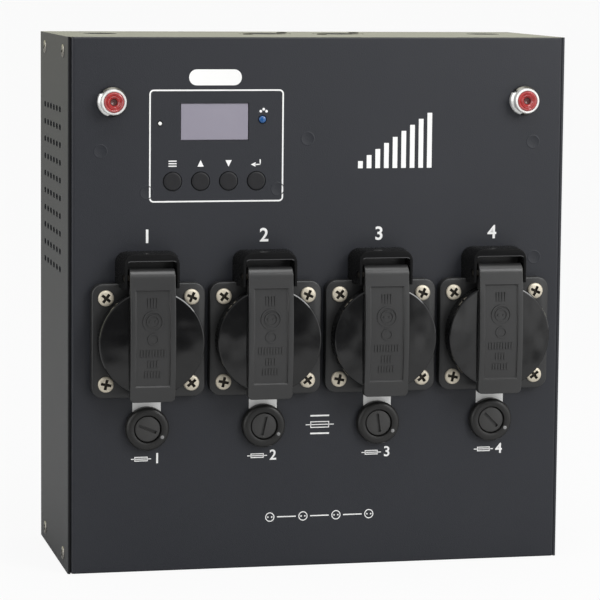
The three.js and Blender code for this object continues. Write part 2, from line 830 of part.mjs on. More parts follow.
// Push button, about its own axis: a cap held behind the panel by its collar
function button() {
  const collarBack = panelBack + buttonCollarDepth;
  const stemEnd = controlBoardFront - switchHeight - runGap - buttonTravel;
  return turnedY([
    [0, stemEnd],
    [buttonStemRadius, stemEnd],
    [buttonStemRadius, collarBack],
    [buttonRadius + buttonCollar, collarBack],
    [buttonRadius + buttonCollar, panelBack],
    [buttonRadius, panelBack],
    [buttonRadius, buttonBevel - buttonProud],
    [buttonRadius - buttonBevel, -buttonProud],
    [0, -buttonProud],
  ], sidesMedium);
}

// Light-emitting diode, about its own axis, with a round nose and a flange on the control board
function diode(radius, proud) {
  const noseShare = 0.7;
  const foot = controlBoardFront - seat;
  return turnedY([
    [0, foot],
    [radius + ledFlange, foot],
    [radius + ledFlange, foot - ledFlangeHeight],
    [radius, foot - ledFlangeHeight],
    [radius, -proud / 2],
    [radius * noseShare, -proud],
    [0, -proud],
  ], sidesSmall);
}

// Control board with the four key switches soldered to it
function controlBoard() {
  const board = block(
    controlBoardX, [controlBoardFront, controlBoardFront + boardThickness], controlBoardZ);
  const switches = buttonNames.map((name, i) => block(
    around(buttonX(i), switchSide),
    [controlBoardFront - switchHeight, controlBoardFront + boardThickness / 2],
    around(buttonZ, switchSide)));
  return joined([board, ...switches]);
}

// Three-pin signal connector, about its own axis, with Z = 0 at the top of the case
function connector(hasPins) {
  const underPlate = -sheet - seat;
  const flange = roundedPrism(connectorFlangeWidth, connectorFlangeLength, connectorFlangeThickness,
    connectorFlangeThickness, 2);
  flange.translate(0, 0, underPlate - connectorFlangeThickness / 2);
  const shell = joined([
    toSolid(flange),
    rodZ(connectorHoleRadius - sheetGap,
      [underPlate - connectorFlangeThickness / 2, -seat], 0, 0, sidesLarge),
    rodZ(connectorBodyRadius, [underPlate - connectorBodyDepth, underPlate], 0, 0, sidesMedium),
  ]).subtract(rodZ(connectorBoreRadius, [-connectorBoreDepth, overrun], 0, 0, sidesMedium));
  const floor = -connectorBoreDepth - overrun;
  const places = [60, 180, 300].map((degrees) => {
    const angle = THREE.MathUtils.degToRad(degrees);
    return [connectorPinCircle * Math.sin(angle), connectorPinCircle * Math.cos(angle)];
  });
  if (hasPins) {
    const pinTop = connectorPinLength - connectorBoreDepth;
    return joined([shell, ...places.map(([x, y]) => (
      rodZ(connectorPinRadius, [floor, pinTop], x, y, sidesTiny)))]);
  }
  const insert = rodZ(connectorInsertRadius, [floor, -sheet / 2], 0, 0, sidesMedium);
  return shell.add(insert).subtract(joined(places.map(([x, y]) => (
    rodZ(connectorPinRadius + runGap, [-connectorPinLength, overrun], x, y, sidesTiny)))));
}

// Power board with its four suppressor chokes soldered on
function powerBoard() {
  const board = block(powerBoardX, [powerBoardFront, powerBoardBack], powerBoardZ);
  const chokes = [[0, 0], [1, 0], [0, 1], [1, 1]].map(([column, row]) => rodY(
    chokeRadius, [powerBoardFront - chokeHeight, powerBoardFront + boardThickness / 2],
    powerBoardX[1] - componentMargin - chokeRadius - column * chokePitch,
    powerBoardZ[1] - componentMargin - chokeRadius - row * chokePitch, sidesSmall));
  return joined([board, ...chokes]);
}

// Supply transformer: an iron core with the coil former standing out of its window
function transformer() {
  const x = [powerBoardX[0] + componentMargin, powerBoardX[0] + componentMargin + transformerWidth];
  const z = [powerBoardZ[1] - componentMargin - transformerHeight, powerBoardZ[1] - componentMargin];
  const foot = powerBoardFront - seat;
  const core = block(x, [foot - transformerDepth, foot],
    [z[0] + transformerCoreInset, z[1] - transformerCoreInset]);
  const former = block([x[0] + 2 * transformerCoreInset, x[1] - 2 * transformerCoreInset],
    [foot - transformerDepth - transformerCoreRise, foot - transformerCoreInset], z);
  return core.add(former);
}

// Terminal block with a sloping front and one entry for each wire
function terminalBlock() {
  const foot = powerBoardFront - seat;
  const front = foot - terminalDepth;
  const low = powerBoardZ[0] + componentMargin;
  const middle = (powerBoardX[0] + powerBoardX[1]) / 2;
  const body = profileX([
    [front, low],
    [front, low + terminalHeight - terminalNose],
    [front + terminalNose, low + terminalHeight],
    [foot, low + terminalHeight],
    [foot, low],
  ], around(middle, terminalWidth));
  const pitch = terminalWidth / terminalCount;
  const entries = [];
  for (let i = 0; i < terminalCount; i += 1) {
    const x = middle + (i - (terminalCount - 1) / 2) * pitch;
    entries.push(rodZ(terminalHoleRadius, [low - overrun, low + terminalHoleDepth],
      x, front + terminalDepth / 2, sidesTiny));
  }
  return body.subtract(joined(entries));
}

// Heat sink: a base on the back plate, a bare land for the power switches, and upright fins
const sinkX = [halfWidth - sinkInset - sinkWidth, halfWidth - sinkInset];
const sinkFront = backInside - seat - sinkBase;

function heatSink() {
  const z = [sinkFromBase, sinkFromBase + sinkHeight];
  const solids = [block(sinkX, [sinkFront, backInside - seat], z)];
  const pitch = (sinkWidth - sinkLand) / sinkFinCount;
  for (let i = 0; i < sinkFinCount; i += 1) {
    const thickness = pitch * sinkFinShare;
    const x = sinkX[1] - thickness / 2 - i * pitch;
    solids.push(block(around(x, thickness), [sinkFront - sinkFinDepth, sinkFront + sinkBase / 2], z));
  }
  return joined(solids);
}

// Power switch: a moulded body on a metal tab, with three legs
function powerSwitch(index) {
  const x = sinkX[0] + sinkLand / 2;
  const foot = sinkFront - seat;
  const pitch = sinkHeight / channelCount;
  const low = sinkFromBase + index * pitch + triacEdge;
  const bodyTop = low + triacHeight - triacTabRise;
  const tab = block(around(x, triacWidth), [foot - triacTab, foot], [low, low + triacHeight]);
  const body = block(around(x, triacWidth), [foot - triacThickness, foot], [low, bodyTop]);
  const legs = [-1, 0, 1].map((side) => block(
    around(x + side * triacWidth / 4, triacLegWidth),
    around(foot - triacThickness / 2, triacLegWidth),
    [low - triacLegLength, low + triacTab]));
  return joined([tab, body, ...legs]);
}

// Assembly
caseGroup.position.y = (frontReach - caseDepth) / 2;

piece('front_cover', frontCover(), paint);
piece('rear_chassis', rearChassis(), paintedChassis);

function placedGroup(x, y, z) {
  const group = new THREE.Group();
  group.position.set(x, y, z);
  caseGroup.add(group);
  return group;
}

const outletSolids = [outlet(), lid(), hingePin(), lidSpring()];
const fuseSolids = [fuseHolder(), fuseCap(), fuse()];
for (let i = 0; i < channelCount; i += 1) {
  const number = i + 1;
  const outletGroup = placedGroup(channelX(i), 0, outletRow);
  piece(`outlet_${number}`, outletSolids[0], blackPlastic, outletGroup);
  piece(`outlet_lid_${number}`, outletSolids[1], blackPlastic, outletGroup);
  piece(`lid_pin_${number}`, outletSolids[2], steel, outletGroup);
  piece(`lid_spring_${number}`, outletSolids[3], steel, outletGroup);
  const fuseGroup = placedGroup(channelX(i), 0, fuseRow);
  piece(`fuse_holder_${number}`, fuseSolids[0], blackPlastic, fuseGroup);
  const cap = piece(`fuse_cap_${number}`, fuseSolids[1], capPlastic, fuseGroup);
  cap.rotation.y = THREE.MathUtils.degToRad(-capSlotTurns[i]);
  piece(`fuse_${number}`, fuseSolids[2], clearGlass, fuseGroup);
  piece(`power_switch_${number}`, powerSwitch(i), blackEpoxy);
}

['left', 'right'].forEach((side, i) => {
  const outward = 2 * i - 1;
  const lampGroup = placedGroup(outward * lampX, 0, lampZ);
  piece(`pilot_bezel_${side}`, lampBezel(), chrome, lampGroup);
  piece(`pilot_lens_${side}`, lampLens(), redLens, lampGroup);
  sideScrewPlaces.forEach(([y, z], place) => {
    const screwGroup = placedGroup(outward * halfWidth, y, z);
    screwGroup.rotation.z = outward * Math.PI / 2;
    piece(`side_screw_${side}_${place + 1}`, sideScrew(), steel, screwGroup);
  });
});

piece('display_module', displayModule(), displayGlass);
piece('control_board', controlBoard(), boardGreen);
piece('signal_led', diode(signalRadius, signalProud), blueLens, placedGroup(signalX, 0, signalZ));
piece('status_led', diode(statusRadius, statusProud), whiteLens, placedGroup(statusX, 0, statusZ));
buttonNames.forEach((name, i) => {
  piece(name, button(), blackPlastic, placedGroup(buttonX(i), 0, buttonZ));
});

['signal_input', 'signal_output'].forEach((name, i) => {
  piece(name, connector(i === 0), blackPlastic, placedGroup(connectorPlaces[i], connectorY, caseHeight));
});

piece('power_board', powerBoard(), boardGreen);
piece('supply_transformer', transformer(), ironCore);
piece('terminal_block', terminalBlock(), terminalGreen);
piece('heat_sink', heatSink(), aluminium);

export default caseGroup;
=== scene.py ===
"""Looks of a four-channel dimmer pack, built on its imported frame. Metres, +Z up, front towards -Y."""

import math

import bpy
from mathutils import Matrix, Vector


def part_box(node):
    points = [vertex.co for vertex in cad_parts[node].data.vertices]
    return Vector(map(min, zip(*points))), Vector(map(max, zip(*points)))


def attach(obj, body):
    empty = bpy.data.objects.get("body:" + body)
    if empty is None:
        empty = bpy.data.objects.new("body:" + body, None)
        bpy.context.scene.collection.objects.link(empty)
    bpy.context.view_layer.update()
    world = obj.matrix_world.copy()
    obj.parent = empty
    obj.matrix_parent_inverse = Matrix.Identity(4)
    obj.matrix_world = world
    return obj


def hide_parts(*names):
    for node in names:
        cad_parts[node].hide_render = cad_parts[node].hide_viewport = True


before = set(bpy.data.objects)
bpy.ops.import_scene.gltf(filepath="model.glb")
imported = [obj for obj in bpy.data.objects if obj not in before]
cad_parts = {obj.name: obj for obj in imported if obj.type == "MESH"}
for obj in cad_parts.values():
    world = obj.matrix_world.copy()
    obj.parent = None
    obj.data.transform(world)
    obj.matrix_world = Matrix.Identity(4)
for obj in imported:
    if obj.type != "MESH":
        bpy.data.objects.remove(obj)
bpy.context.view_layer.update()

# Camera
# It stands where the photograph was taken from, left of the middle and a little above the top.
# A long lens keeps the upright edges nearly upright, and a small shift centres the object.
CAMERA_PLACE = (-0.28782, -1.25485, 0.27160)
CAMERA_YAW, CAMERA_PITCH, CAMERA_ROLL = (math.radians(angle) for angle in (12.165, 6.189, 0.438))
CAMERA_LENS, CAMERA_SHIFT, CAMERA_REACH = 170.09, (0.06, -0.06), 20

camera_data = bpy.data.cameras.new("camera")
camera_data.lens = CAMERA_LENS
camera_data.shift_x, camera_data.shift_y = CAMERA_SHIFT
camera_data.clip_end = CAMERA_REACH
camera = bpy.data.objects.new("camera", camera_data)
bpy.context.scene.collection.objects.link(camera)
camera.matrix_world = (Matrix.Translation(CAMERA_PLACE) @ Matrix.Rotation(-CAMERA_YAW, 4, "Z")
                       @ Matrix.Rotation(math.pi / 2 - CAMERA_PITCH, 4, "X")
                       @ Matrix.Rotation(CAMERA_ROLL, 4, "Z"))
bpy.context.scene.camera = camera
bpy.context.scene.view_settings.view_transform = "Standard"

# Rear chassis
# The back and both sides are one folded steel sheet, powder coated, with punched vent slots and
# keyholes. The cut front edge at the left gets a darker coat as painted shade. Corner screws hold the cover
# to it.
SHEET, BEND_RADIUS, CUT_EDGE = 0.0012, 0.0012, 0.0006
CUT_THROUGH, SEAT_GAP, NEARLY_ONE = 0.002, 0.00005, 0.9
VENT_LENGTH, VENT_HEIGHT, VENT_END_SHARE = 0.0052, 0.0026, 0.49
VENT_COUNTS, VENT_PITCH = (6, 10), (0.0096, 0.0079)
VENT_FROM_BACK, VENT_FROM_TOP = 0.0167, 0.0327
KEYHOLE_INSET, KEYHOLE_FROM_TOP, KEYHOLE_RISE = 0.0375, 0.030, 0.009
KEYHOLE_HEAD, KEYHOLE_NECK = 0.0045, 0.00225
GRAIN_DETAIL, GRAIN_STRENGTH = {"Grain": 3, "Clouds": 4}, 0.5
SLOW_CLOUDS, CLOSE_STOPS = 18, (0.35, 0.65)


def settled(name):
    """The primitive that was just added, with its name and its turns and scale applied."""
    bpy.ops.object.transform_apply(location=True, rotation=True, scale=True)
    piece = bpy.context.object
    piece.name = piece.data.name = name
    return piece


def slab(name, low, high):
    """A block between two corners, as a start for a piece."""
    bpy.ops.object.select_all(action="DESELECT")
    low, high = Vector(low), Vector(high)
    bpy.ops.mesh.primitive_cube_add(size=1, location=(low + high) / 2, scale=high - low)
    return settled(name)


def rod(name, centre, axis, radius, length, sides=32):
    """A round bar along an axis, as a start for a piece or as a cutter."""
    bpy.ops.object.select_all(action="DESELECT")
    turn = Vector((0, 0, 1)).rotation_difference(Vector(axis)).to_euler()
    bpy.ops.mesh.primitive_cylinder_add(
        vertices=sides, radius=radius, depth=length, location=centre, rotation=turn)
    return settled(name)


def make_active(piece):
    bpy.ops.object.select_all(action="DESELECT")
    piece.select_set(True)
    bpy.context.view_layer.objects.active = piece


def edit_parts(piece, kind, wanted, operator, **settings):
    """Runs an edit-mode operator on the wanted vertices, edges or faces of a piece."""
    make_active(piece)
    bpy.context.tool_settings.mesh_select_mode = [kind == each for each in ("VERT", "EDGE", "FACE")]
    bpy.ops.object.mode_set(mode="EDIT")
    bpy.ops.mesh.select_all(action="DESELECT")
    bpy.ops.object.mode_set(mode="OBJECT")
    mesh = piece.data
    if kind == "VERT":
        for vertex in mesh.vertices:
            vertex.select = wanted(vertex.co)
    elif kind == "EDGE":
        for edge in mesh.edges:
            start, end = (mesh.vertices[i].co for i in edge.vertices)
            edge.select = wanted((start + end) / 2, (end - start).normalized())
    else:
        for face in mesh.polygons:
            face.select = wanted(face.center, face.normal)
    bpy.ops.object.mode_set(mode="EDIT")
    operator(**settings)
    bpy.ops.object.mode_set(mode="OBJECT")


def round_edges(piece, wanted, radius, segments):
    edit_parts(piece, "EDGE", wanted, bpy.ops.mesh.bevel,
               offset=radius, segments=segments, affect="EDGES")


def add_modifier(piece, kind, **settings):
    """Adds a modifier with its settings and applies it."""
    make_active(piece)
    modifier = piece.modifiers.new(kind.lower(), kind)
    for key, value in settings.items():
        setattr(modifier, key, value)
    bpy.ops.object.modifier_apply(modifier=modifier.name)


def folded(piece, is_open):
    """Makes a block into folded sheet metal that is open on some sides."""
    edit_parts(piece, "FACE", is_open, bpy.ops.mesh.delete, type="FACE")
    add_modifier(piece, "SOLIDIFY", thickness=SHEET, offset=-1, use_even_offset=True)


def combine(piece, tool, operation="DIFFERENCE"):
    """Cuts a tool out of a piece, or joins it on, and removes the tool."""
    add_modifier(piece, "BOOLEAN", operation=operation, solver="EXACT", object=tool)
    bpy.data.objects.remove(tool)


def joined(name, pieces):
    """Several meshes as one object, still apart from each other."""
    make_active(pieces[0])
    for piece in pieces[1:]:
        piece.select_set(True)
    bpy.ops.object.join()
    pieces[0].name = pieces[0].data.name = name
    return pieces[0]


def smooth(piece, degrees=30):
    make_active(piece)
    bpy.ops.object.shade_smooth_by_angle(angle=math.radians(degrees))


def smooth_flats(piece):
    """Smooths a piece so that its flat faces still look flat right up to a bend."""
    smooth(piece)
    add_modifier(piece, "WEIGHTED_NORMAL", keep_sharp=True)


def coat(piece, *materials):
    """Gives a piece its materials, in place of any that it has."""
    piece.data.materials.clear()
    for material in materials:
        piece.data.materials.append(material)


def give_faces(piece, index, wanted):
    """Puts one of the piece's materials on the wanted faces."""
    for face in piece.data.polygons:
        if wanted(face.center, face.normal):
            face.material_index = index


def finish_piece(piece, material, body, *nodes, slot=None):
    """Gives a piece its finish and the body that carries it, and hides the imported nodes that it stands
    for.

    Where the material is None, the piece keeps the finishes that it already has."""
    if material:
        coat(piece, material)
    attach(piece, body)
    if nodes:
        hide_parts(*nodes)


def new_material(name):
    """A material, its node tree and its shader."""
    material = bpy.data.materials.new(name)
    material.use_nodes = True
    return material, material.node_tree, material.node_tree.nodes["Principled BSDF"]


def grain_group():
    """A fine moulded or sprayed grain, and slow clouds of tone, both from 0 to 1."""
    group = bpy.data.node_groups.new("surface_grain", "ShaderNodeTree")
    for socket in GRAIN_DETAIL:
        group.interface.new_socket(socket + " per metre", in_out="INPUT", socket_type="NodeSocketFloat")
        group.interface.new_socket(socket, in_out="OUTPUT", socket_type="NodeSocketFloat")
    start, end, place = (group.nodes.new(kind) for kind in (
        "NodeGroupInput", "NodeGroupOutput", "ShaderNodeTexCoord"))
    for socket, detail in GRAIN_DETAIL.items():
        noise = group.nodes.new("ShaderNodeTexNoise")
        noise.inputs["Detail"].default_value = detail
        group.links.new(place.outputs["Object"], noise.inputs["Vector"])
        group.links.new(start.outputs[socket + " per metre"], noise.inputs["Scale"])
        group.links.new(noise.outputs["Fac"], end.inputs[socket])
    return group


surface_grain = grain_group()


def add_grain(tree, per_metre, clouds_per_metre):
    node = tree.nodes.new("ShaderNodeGroup")
    node.node_tree = surface_grain
    node.inputs["Grain per metre"].default_value = per_metre
    node.inputs["Clouds per metre"].default_value = clouds_per_metre
    return node.outputs


def add_range(tree, source, target, low, high):
    """Spreads a mask from 0 to 1 between two values of an input."""
    spread = tree.nodes.new("ShaderNodeMapRange")
    spread.inputs["To Min"].default_value = low
    spread.inputs["To Max"].default_value = high
    tree.links.new(source, spread.inputs["Value"])
    tree.links.new(spread.outputs["Result"], target)


def surface(name, dark, light, rough, grain, height=0, clouds=SLOW_CLOUDS, stops=CLOSE_STOPS,
            strength=GRAIN_STRENGTH, haze=None, specular=0.5, metallic=0, coat_weight=0):
    """A finish in two tones that drift in clouds, with a fine grain in its roughness.

    The grain also raises the surface where it has a height. Haze gives the roughness a mask of
    its own, and a single value of roughness needs no mask."""
    material, tree, shader = new_material(name)
    shader.inputs["Specular IOR Level"].default_value = specular
    shader.inputs["Metallic"].default_value = metallic
    shader.inputs["Coat Weight"].default_value = coat_weight
    masks = add_grain(tree, grain, clouds)
    ramp = tree.nodes.new("ShaderNodeValToRGB")
    for element, position, colour in zip(ramp.color_ramp.elements, stops, (dark, light)):
        element.position = position
        element.color = (*colour, 1)
    tree.links.new(masks["Clouds"], ramp.inputs["Fac"])
    tree.links.new(ramp.outputs["Color"], shader.inputs["Base Color"])
    if isinstance(rough, float):
        shader.inputs["Roughness"].default_value = rough
    else:
        rough_mask = add_grain(tree, grain, haze)["Clouds"] if haze else masks["Grain"]
        add_range(tree, rough_mask, shader.inputs["Roughness"], *rough)
    if height:
        relief = tree.nodes.new("ShaderNodeBump")
        relief.inputs["Strength"].default_value = strength
        relief.inputs["Distance"].default_value = height
        tree.links.new(masks["Grain"], relief.inputs["Height"])
        tree.links.new(relief.outputs["Normal"], shader.inputs["Normal"])
    return material


powder_coat = surface("charcoal_powder_coat", (0.0084, 0.0100, 0.0150), (0.0104, 0.0120, 0.0172),
                      (0.42, 0.54), 2600, 0.00010, specular=0.46)
painted_shade_edge_coat = surface("painted_shade_on_left_cut_edge", (0.0034, 0.0036, 0.0040), (0.0046, 0.0048, 0.0052),
                    (0.60, 0.75), 2600, 0.00006, specular=0.15)

chassis_low, chassis_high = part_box("rear_chassis")
chassis = slab("chassis", chassis_low, chassis_high)
round_edges(chassis, lambda at, along: abs(along.z) > NEARLY_ONE and at.y > 0, BEND_RADIUS, 6)
folded(chassis, lambda at, normal: abs(normal.z) > NEARLY_ONE or normal.y < -NEARLY_ONE)
round_edges(chassis, lambda at, along: abs(along.z) > NEARLY_ONE and at.y < chassis_low.y + CUT_EDGE
            and abs(at.x) > chassis_high.x - CUT_EDGE, CUT_EDGE, 3)

vent_y, vent_z = chassis_high.y - VENT_FROM_BACK, chassis_high.z - VENT_FROM_TOP
slots = slab("vent_cutter",
             (chassis_low.x - CUT_THROUGH, vent_y - VENT_LENGTH / 2, vent_z - VENT_HEIGHT / 2),
             (chassis_high.x + CUT_THROUGH, vent_y + VENT_LENGTH / 2, vent_z + VENT_HEIGHT / 2))
round_edges(slots, lambda at, along: abs(along.x) > NEARLY_ONE, VENT_HEIGHT * VENT_END_SHARE, 4)
for count, step in zip(VENT_COUNTS, ((0, -VENT_PITCH[0], 0), (0, 0, -VENT_PITCH[1]))):
    add_modifier(slots, "ARRAY", count=count, use_relative_offset=False, use_constant_offset=True,
                 constant_offset_displace=step)
combine(chassis, slots)

for side in (-1, 1):
    head = Vector((side * (chassis_high.x - KEYHOLE_INSET), chassis_high.y,
                   chassis_high.z - KEYHOLE_FROM_TOP))
    neck = head + Vector((0, 0, KEYHOLE_RISE))
    half_neck = Vector((KEYHOLE_NECK, 2 * SHEET, 0))
    combine(chassis, rod("keyhole_head", head, (0, 1, 0), KEYHOLE_HEAD, 4 * SHEET))
    combine(chassis, rod("keyhole_end", neck, (0, 1, 0), KEYHOLE_NECK, 4 * SHEET))
    combine(chassis, slab("keyhole_neck", head - half_neck, neck + half_neck))
smooth_flats(chassis)
coat(chassis, powder_coat, painted_shade_edge_coat)
# Painted shade: the left cut front edge of the chassis gets the darker coat.
give_faces(chassis, 1, lambda at, normal: normal.y < -NEARLY_ONE and at.x < 0
           and at.y < chassis_low.y + CUT_EDGE)
finish_piece(chassis, None, "case", "rear_chassis", slot="chassis_paint")

# Side screws
# Eight low zinc-plated pan-head screws with a cross recess fix the sides to the lips of the cover.
# They sit in two rows, near the front and near the back of each side.
SIDE_SCREW_HEAD, SIDE_SCREW_SHANK, SIDE_SCREW_TURN = (0.0029, 0.0006), (0.0015, 0.0070), 0.7
PAN_HEAD_SHARES = ((1, 0), (1, 0.45), (0.95, 0.75), (0.84, 0.92), (0.55, 0.99), (0.06, 1))
RECESS_SHARES = (0.66, 0.18, 0.8)
PAN_TOP_SHARE, RECESS_MARGIN = 0.97, 1.01
METAL_SHADE, METAL_CLOUDS, METAL_HEIGHT, METAL_STRENGTH = 0.82, 260, 0.00002, 0.3
WIDE_STOPS = (0.3, 0.7)


def turned(name, centre, axis, profile, sides=48):
    """A piece turned about an axis, from its radius and height at each step along the axis."""
    centre, axis = Vector(centre), Vector(axis)
    turn = Vector((0, 0, 1)).rotation_difference(axis).to_euler()
    (radius, height), *steps = profile
    bpy.ops.object.select_all(action="DESELECT")
    bpy.ops.mesh.primitive_circle_add(vertices=sides, radius=radius, fill_type="NGON",
                                      location=centre + axis * height, rotation=turn)
    piece = settled(name)
    bpy.ops.object.mode_set(mode="EDIT")
    bpy.ops.mesh.select_mode(type="FACE")
    bpy.ops.mesh.select_all(action="SELECT")
    for next_radius, next_height in steps:
        bpy.ops.mesh.extrude_region_move(
            TRANSFORM_OT_translate={"value": axis * (next_height - height)})
        growth = next_radius / radius
        bpy.ops.transform.resize(value=[1 if abs(part) > 0.5 else growth for part in axis],
                                 center_override=centre)
        radius, height = next_radius, next_height
    bpy.ops.mesh.select_all(action="SELECT")
    bpy.ops.mesh.normals_make_consistent(inside=False)
    bpy.ops.object.mode_set(mode="OBJECT")
    return piece


def pan_screw(name, head, shank):
    """A screw at the origin that faces -Y, from the radius and height of its head and shank."""
    screw = turned(name, (0, 0, 0), (0, -1, 0),
                   [(shank[0], -shank[1]), (shank[0], 0)]
                   + [(head[0] * out, head[1] * up) for out, up in PAN_HEAD_SHARES], 24)
    arm, half_width, depth = (size * share for size, share in
                              zip((head[0], head[0], head[1]), RECESS_SHARES))
    for reach in ((arm, half_width), (half_width, arm)):
        combine(screw, slab("recess_cutter", (-reach[0], -head[1] - CUT_THROUGH, -reach[1]),
                            (reach[0], depth - head[1], reach[1])))
    smooth(screw, 40)
    coat(screw, nickel_plate, dark_steel_and_recess_shade)
    # Painted shade: the faces of the cross recess get the dark steel.
    give_faces(screw, 1, lambda at, normal: -head[1] * PAN_TOP_SHARE < at.y < 0
               and max(abs(at.x), abs(at.z)) < arm * RECESS_MARGIN
               and min(abs(at.x), abs(at.z)) < half_width * RECESS_MARGIN)
    return screw


def repeat(piece, names, places):
    """The piece at each place, every copy with its own mesh. The model itself is removed."""
    copies = []
    for name, place in zip(names, places):
        copy = piece.copy()
        copy.data = piece.data.copy()
        copy.data.transform(place)
        copy.name = copy.data.name = name
        bpy.context.scene.collection.objects.link(copy)
        copies.append(copy)
    bpy.data.objects.remove(piece)
    return copies


def metal(name, colour, rough, grain=900, metallic=1):
    """A plated or bare metal with a faint unevenness in its polish."""
    darker = [part * METAL_SHADE for part in colour]
    return surface(name, darker, colour, rough, grain, METAL_HEIGHT, METAL_CLOUDS, WIDE_STOPS,
                   METAL_STRENGTH, metallic=metallic)


def middle_of(node):
    low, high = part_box(node)
    return (low + high) / 2


nickel_plate = metal("nickel_plated_steel", (0.69, 0.63, 0.51), (0.40, 0.52), metallic=0.4)
zinc_plate = metal("zinc_plated_steel", (0.36, 0.345, 0.31), (0.30, 0.42))
# Dark steel, also used as painted shade in the screws' cross recesses.
dark_steel_and_recess_shade = metal("unlit_recess_steel", (0.050, 0.045, 0.038), (0.55, 0.70))

side_screw = pan_screw("side_screw", SIDE_SCREW_HEAD, SIDE_SCREW_SHANK)
side_screw.data.materials[0] = zinc_plate
side_screw_places = {}
for side, outward, seat_x in (("left", -1, chassis_low.x), ("right", 1, chassis_high.x)):
    for number in range(1, 5):
        node = f"side_screw_{side}_{number}"
        side_screw_places[node] = (
            Matrix.Translation((seat_x, *middle_of(node).yz))
            @ Matrix.Rotation(outward * math.pi / 2, 4, "Z")
            @ Matrix.Rotation(number * SIDE_SCREW_TURN, 4, "Y"))
side_screws = repeat(side_screw, [node + "_pan" for node in side_screw_places],
                     side_screw_places.values())
for node, screw in zip(side_screw_places, side_screws):
    finish_piece(screw, None, "case", node, slot="bright_steel")

# Front cover
# The front, the top and the base are one bent sheet in the same powder coat, with a lip along each
# side and its tighter bend on the right. Pressed-in studs show as faint rings through the paint.
COVER_LIP, SIDE_BEND, CLOSE_BEND, TOP_BEND, TIGHT_FIT = 0.012, 0.0016, 0.0011, 0.0008, 0.0002
STUD_RINGS = ((-0.0983, 0.1868), (-0.0778, 0.1686), (-0.0058, 0.1918), (-0.0192, 0.1696),
              (0.0981, 0.1898), (0.0995, 0.1377))
STUD_PROFILE = ((0.0032, -0.0003), (0.0032, 0.00001), (0.0030, 0.00006), (0.0027, 0.00006),
                (0.0025, 0.00002), (0.0002, 0.00002))
OUTLET_HOLE, FUSE_HOLE, LAMP_HOLE, BUTTON_HOLE = 0.0218, 0.0079, 0.0053, 0.0043
SIGNAL_HOLE, STATUS_HOLE, CONNECTOR_HOLE, ENTRY_HOLE = 0.0019, 0.0013, 0.012, 0.00775
ENTRY_PLACE, DISPLAY_BORDER = (0.090, 0.01875), 0.0018
CHANNELS = (1, 2, 3, 4)
BUTTONS = ("button_menu", "button_up", "button_down", "button_enter")
TOWARD_VIEWER, UPWARD = Vector((0, -1, 0)), Vector((0, 0, 1))

cover_low, cover_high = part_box("front_cover")
cover_low.x, cover_high.x = cover_low.x - TIGHT_FIT, cover_high.x + TIGHT_FIT
front_y = cover_low.y
cover = slab("cover", cover_low, cover_high)
for side, bend in ((-1, SIDE_BEND), (1, CLOSE_BEND)):
    round_edges(cover, lambda at, along: abs(along.z) > NEARLY_ONE and at.y < front_y + CUT_EDGE
                and side * at.x > 0, bend, 8)
round_edges(cover, lambda at, along: abs(along.z) < 1 - NEARLY_ONE and at.y < front_y + SIDE_BEND,
            TOP_BEND, 6)
folded(cover, lambda at, normal: normal.y > NEARLY_ONE)
combine(cover, slab("between_lips",
                    (cover_low.x - CUT_THROUGH, front_y + COVER_LIP, cover_low.z + COVER_LIP),
                    (cover_high.x + CUT_THROUGH, cover_high.y + CUT_THROUGH, cover_high.z - COVER_LIP)))


def on_front(node):
    """The place of a node's middle on the face of the cover."""
    middle = middle_of(node)
    return Vector((middle.x, front_y, middle.z))


def hole(middle, axis, radius):
    return rod("hole", middle, axis, radius, 3 * SHEET, 48)


outlet_low, outlet_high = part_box("outlet_1")
outlet_middle = Vector(((outlet_low.x + outlet_high.x) / 2, front_y,
                        outlet_low.z + (outlet_high.x - outlet_low.x) / 2))
channel_steps = [Matrix.Translation(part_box(f"outlet_{number}")[0] - outlet_low)
                 for number in CHANNELS]
front_holes = dict.fromkeys([f"fuse_holder_{number}" for number in CHANNELS], FUSE_HOLE)
front_holes |= dict.fromkeys(("pilot_bezel_left", "pilot_bezel_right"), LAMP_HOLE)
front_holes |= dict.fromkeys(BUTTONS, BUTTON_HOLE)
front_holes |= {"signal_led": SIGNAL_HOLE, "status_led": STATUS_HOLE}
top_holes = [(middle_of(node).xy, CONNECTOR_HOLE) for node in ("signal_input", "signal_output")]
top_holes += [((side * ENTRY_PLACE[0], ENTRY_PLACE[1]), ENTRY_HOLE) for side in (-1, 1)]
module_low, module_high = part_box("display_module")
window_low = Vector((module_low.x + DISPLAY_BORDER, front_y - SHEET, module_low.z + DISPLAY_BORDER))
window_high = Vector((module_high.x - DISPLAY_BORDER, front_y + 2 * SHEET,
                      module_high.z - DISPLAY_BORDER))
holes = [hole(step @ outlet_middle, TOWARD_VIEWER, OUTLET_HOLE) for step in channel_steps]
holes += [hole(on_front(node), TOWARD_VIEWER, radius) for node, radius in front_holes.items()]
holes += [hole((*place, cover_high.z), UPWARD, radius) for place, radius in top_holes]
combine(cover, joined("hole_cutters", [*holes, slab("window", window_low, window_high)]))
smooth_flats(cover)
rings = [turned("stud_ring", (x, front_y, z), TOWARD_VIEWER, STUD_PROFILE, 32) for x, z in STUD_RINGS]
for ring in rings:
    smooth(ring)
finish_piece(joined("cover_sheet", [cover, *rings]), powder_coat, "case", "front_cover",
             slot="cover_paint")

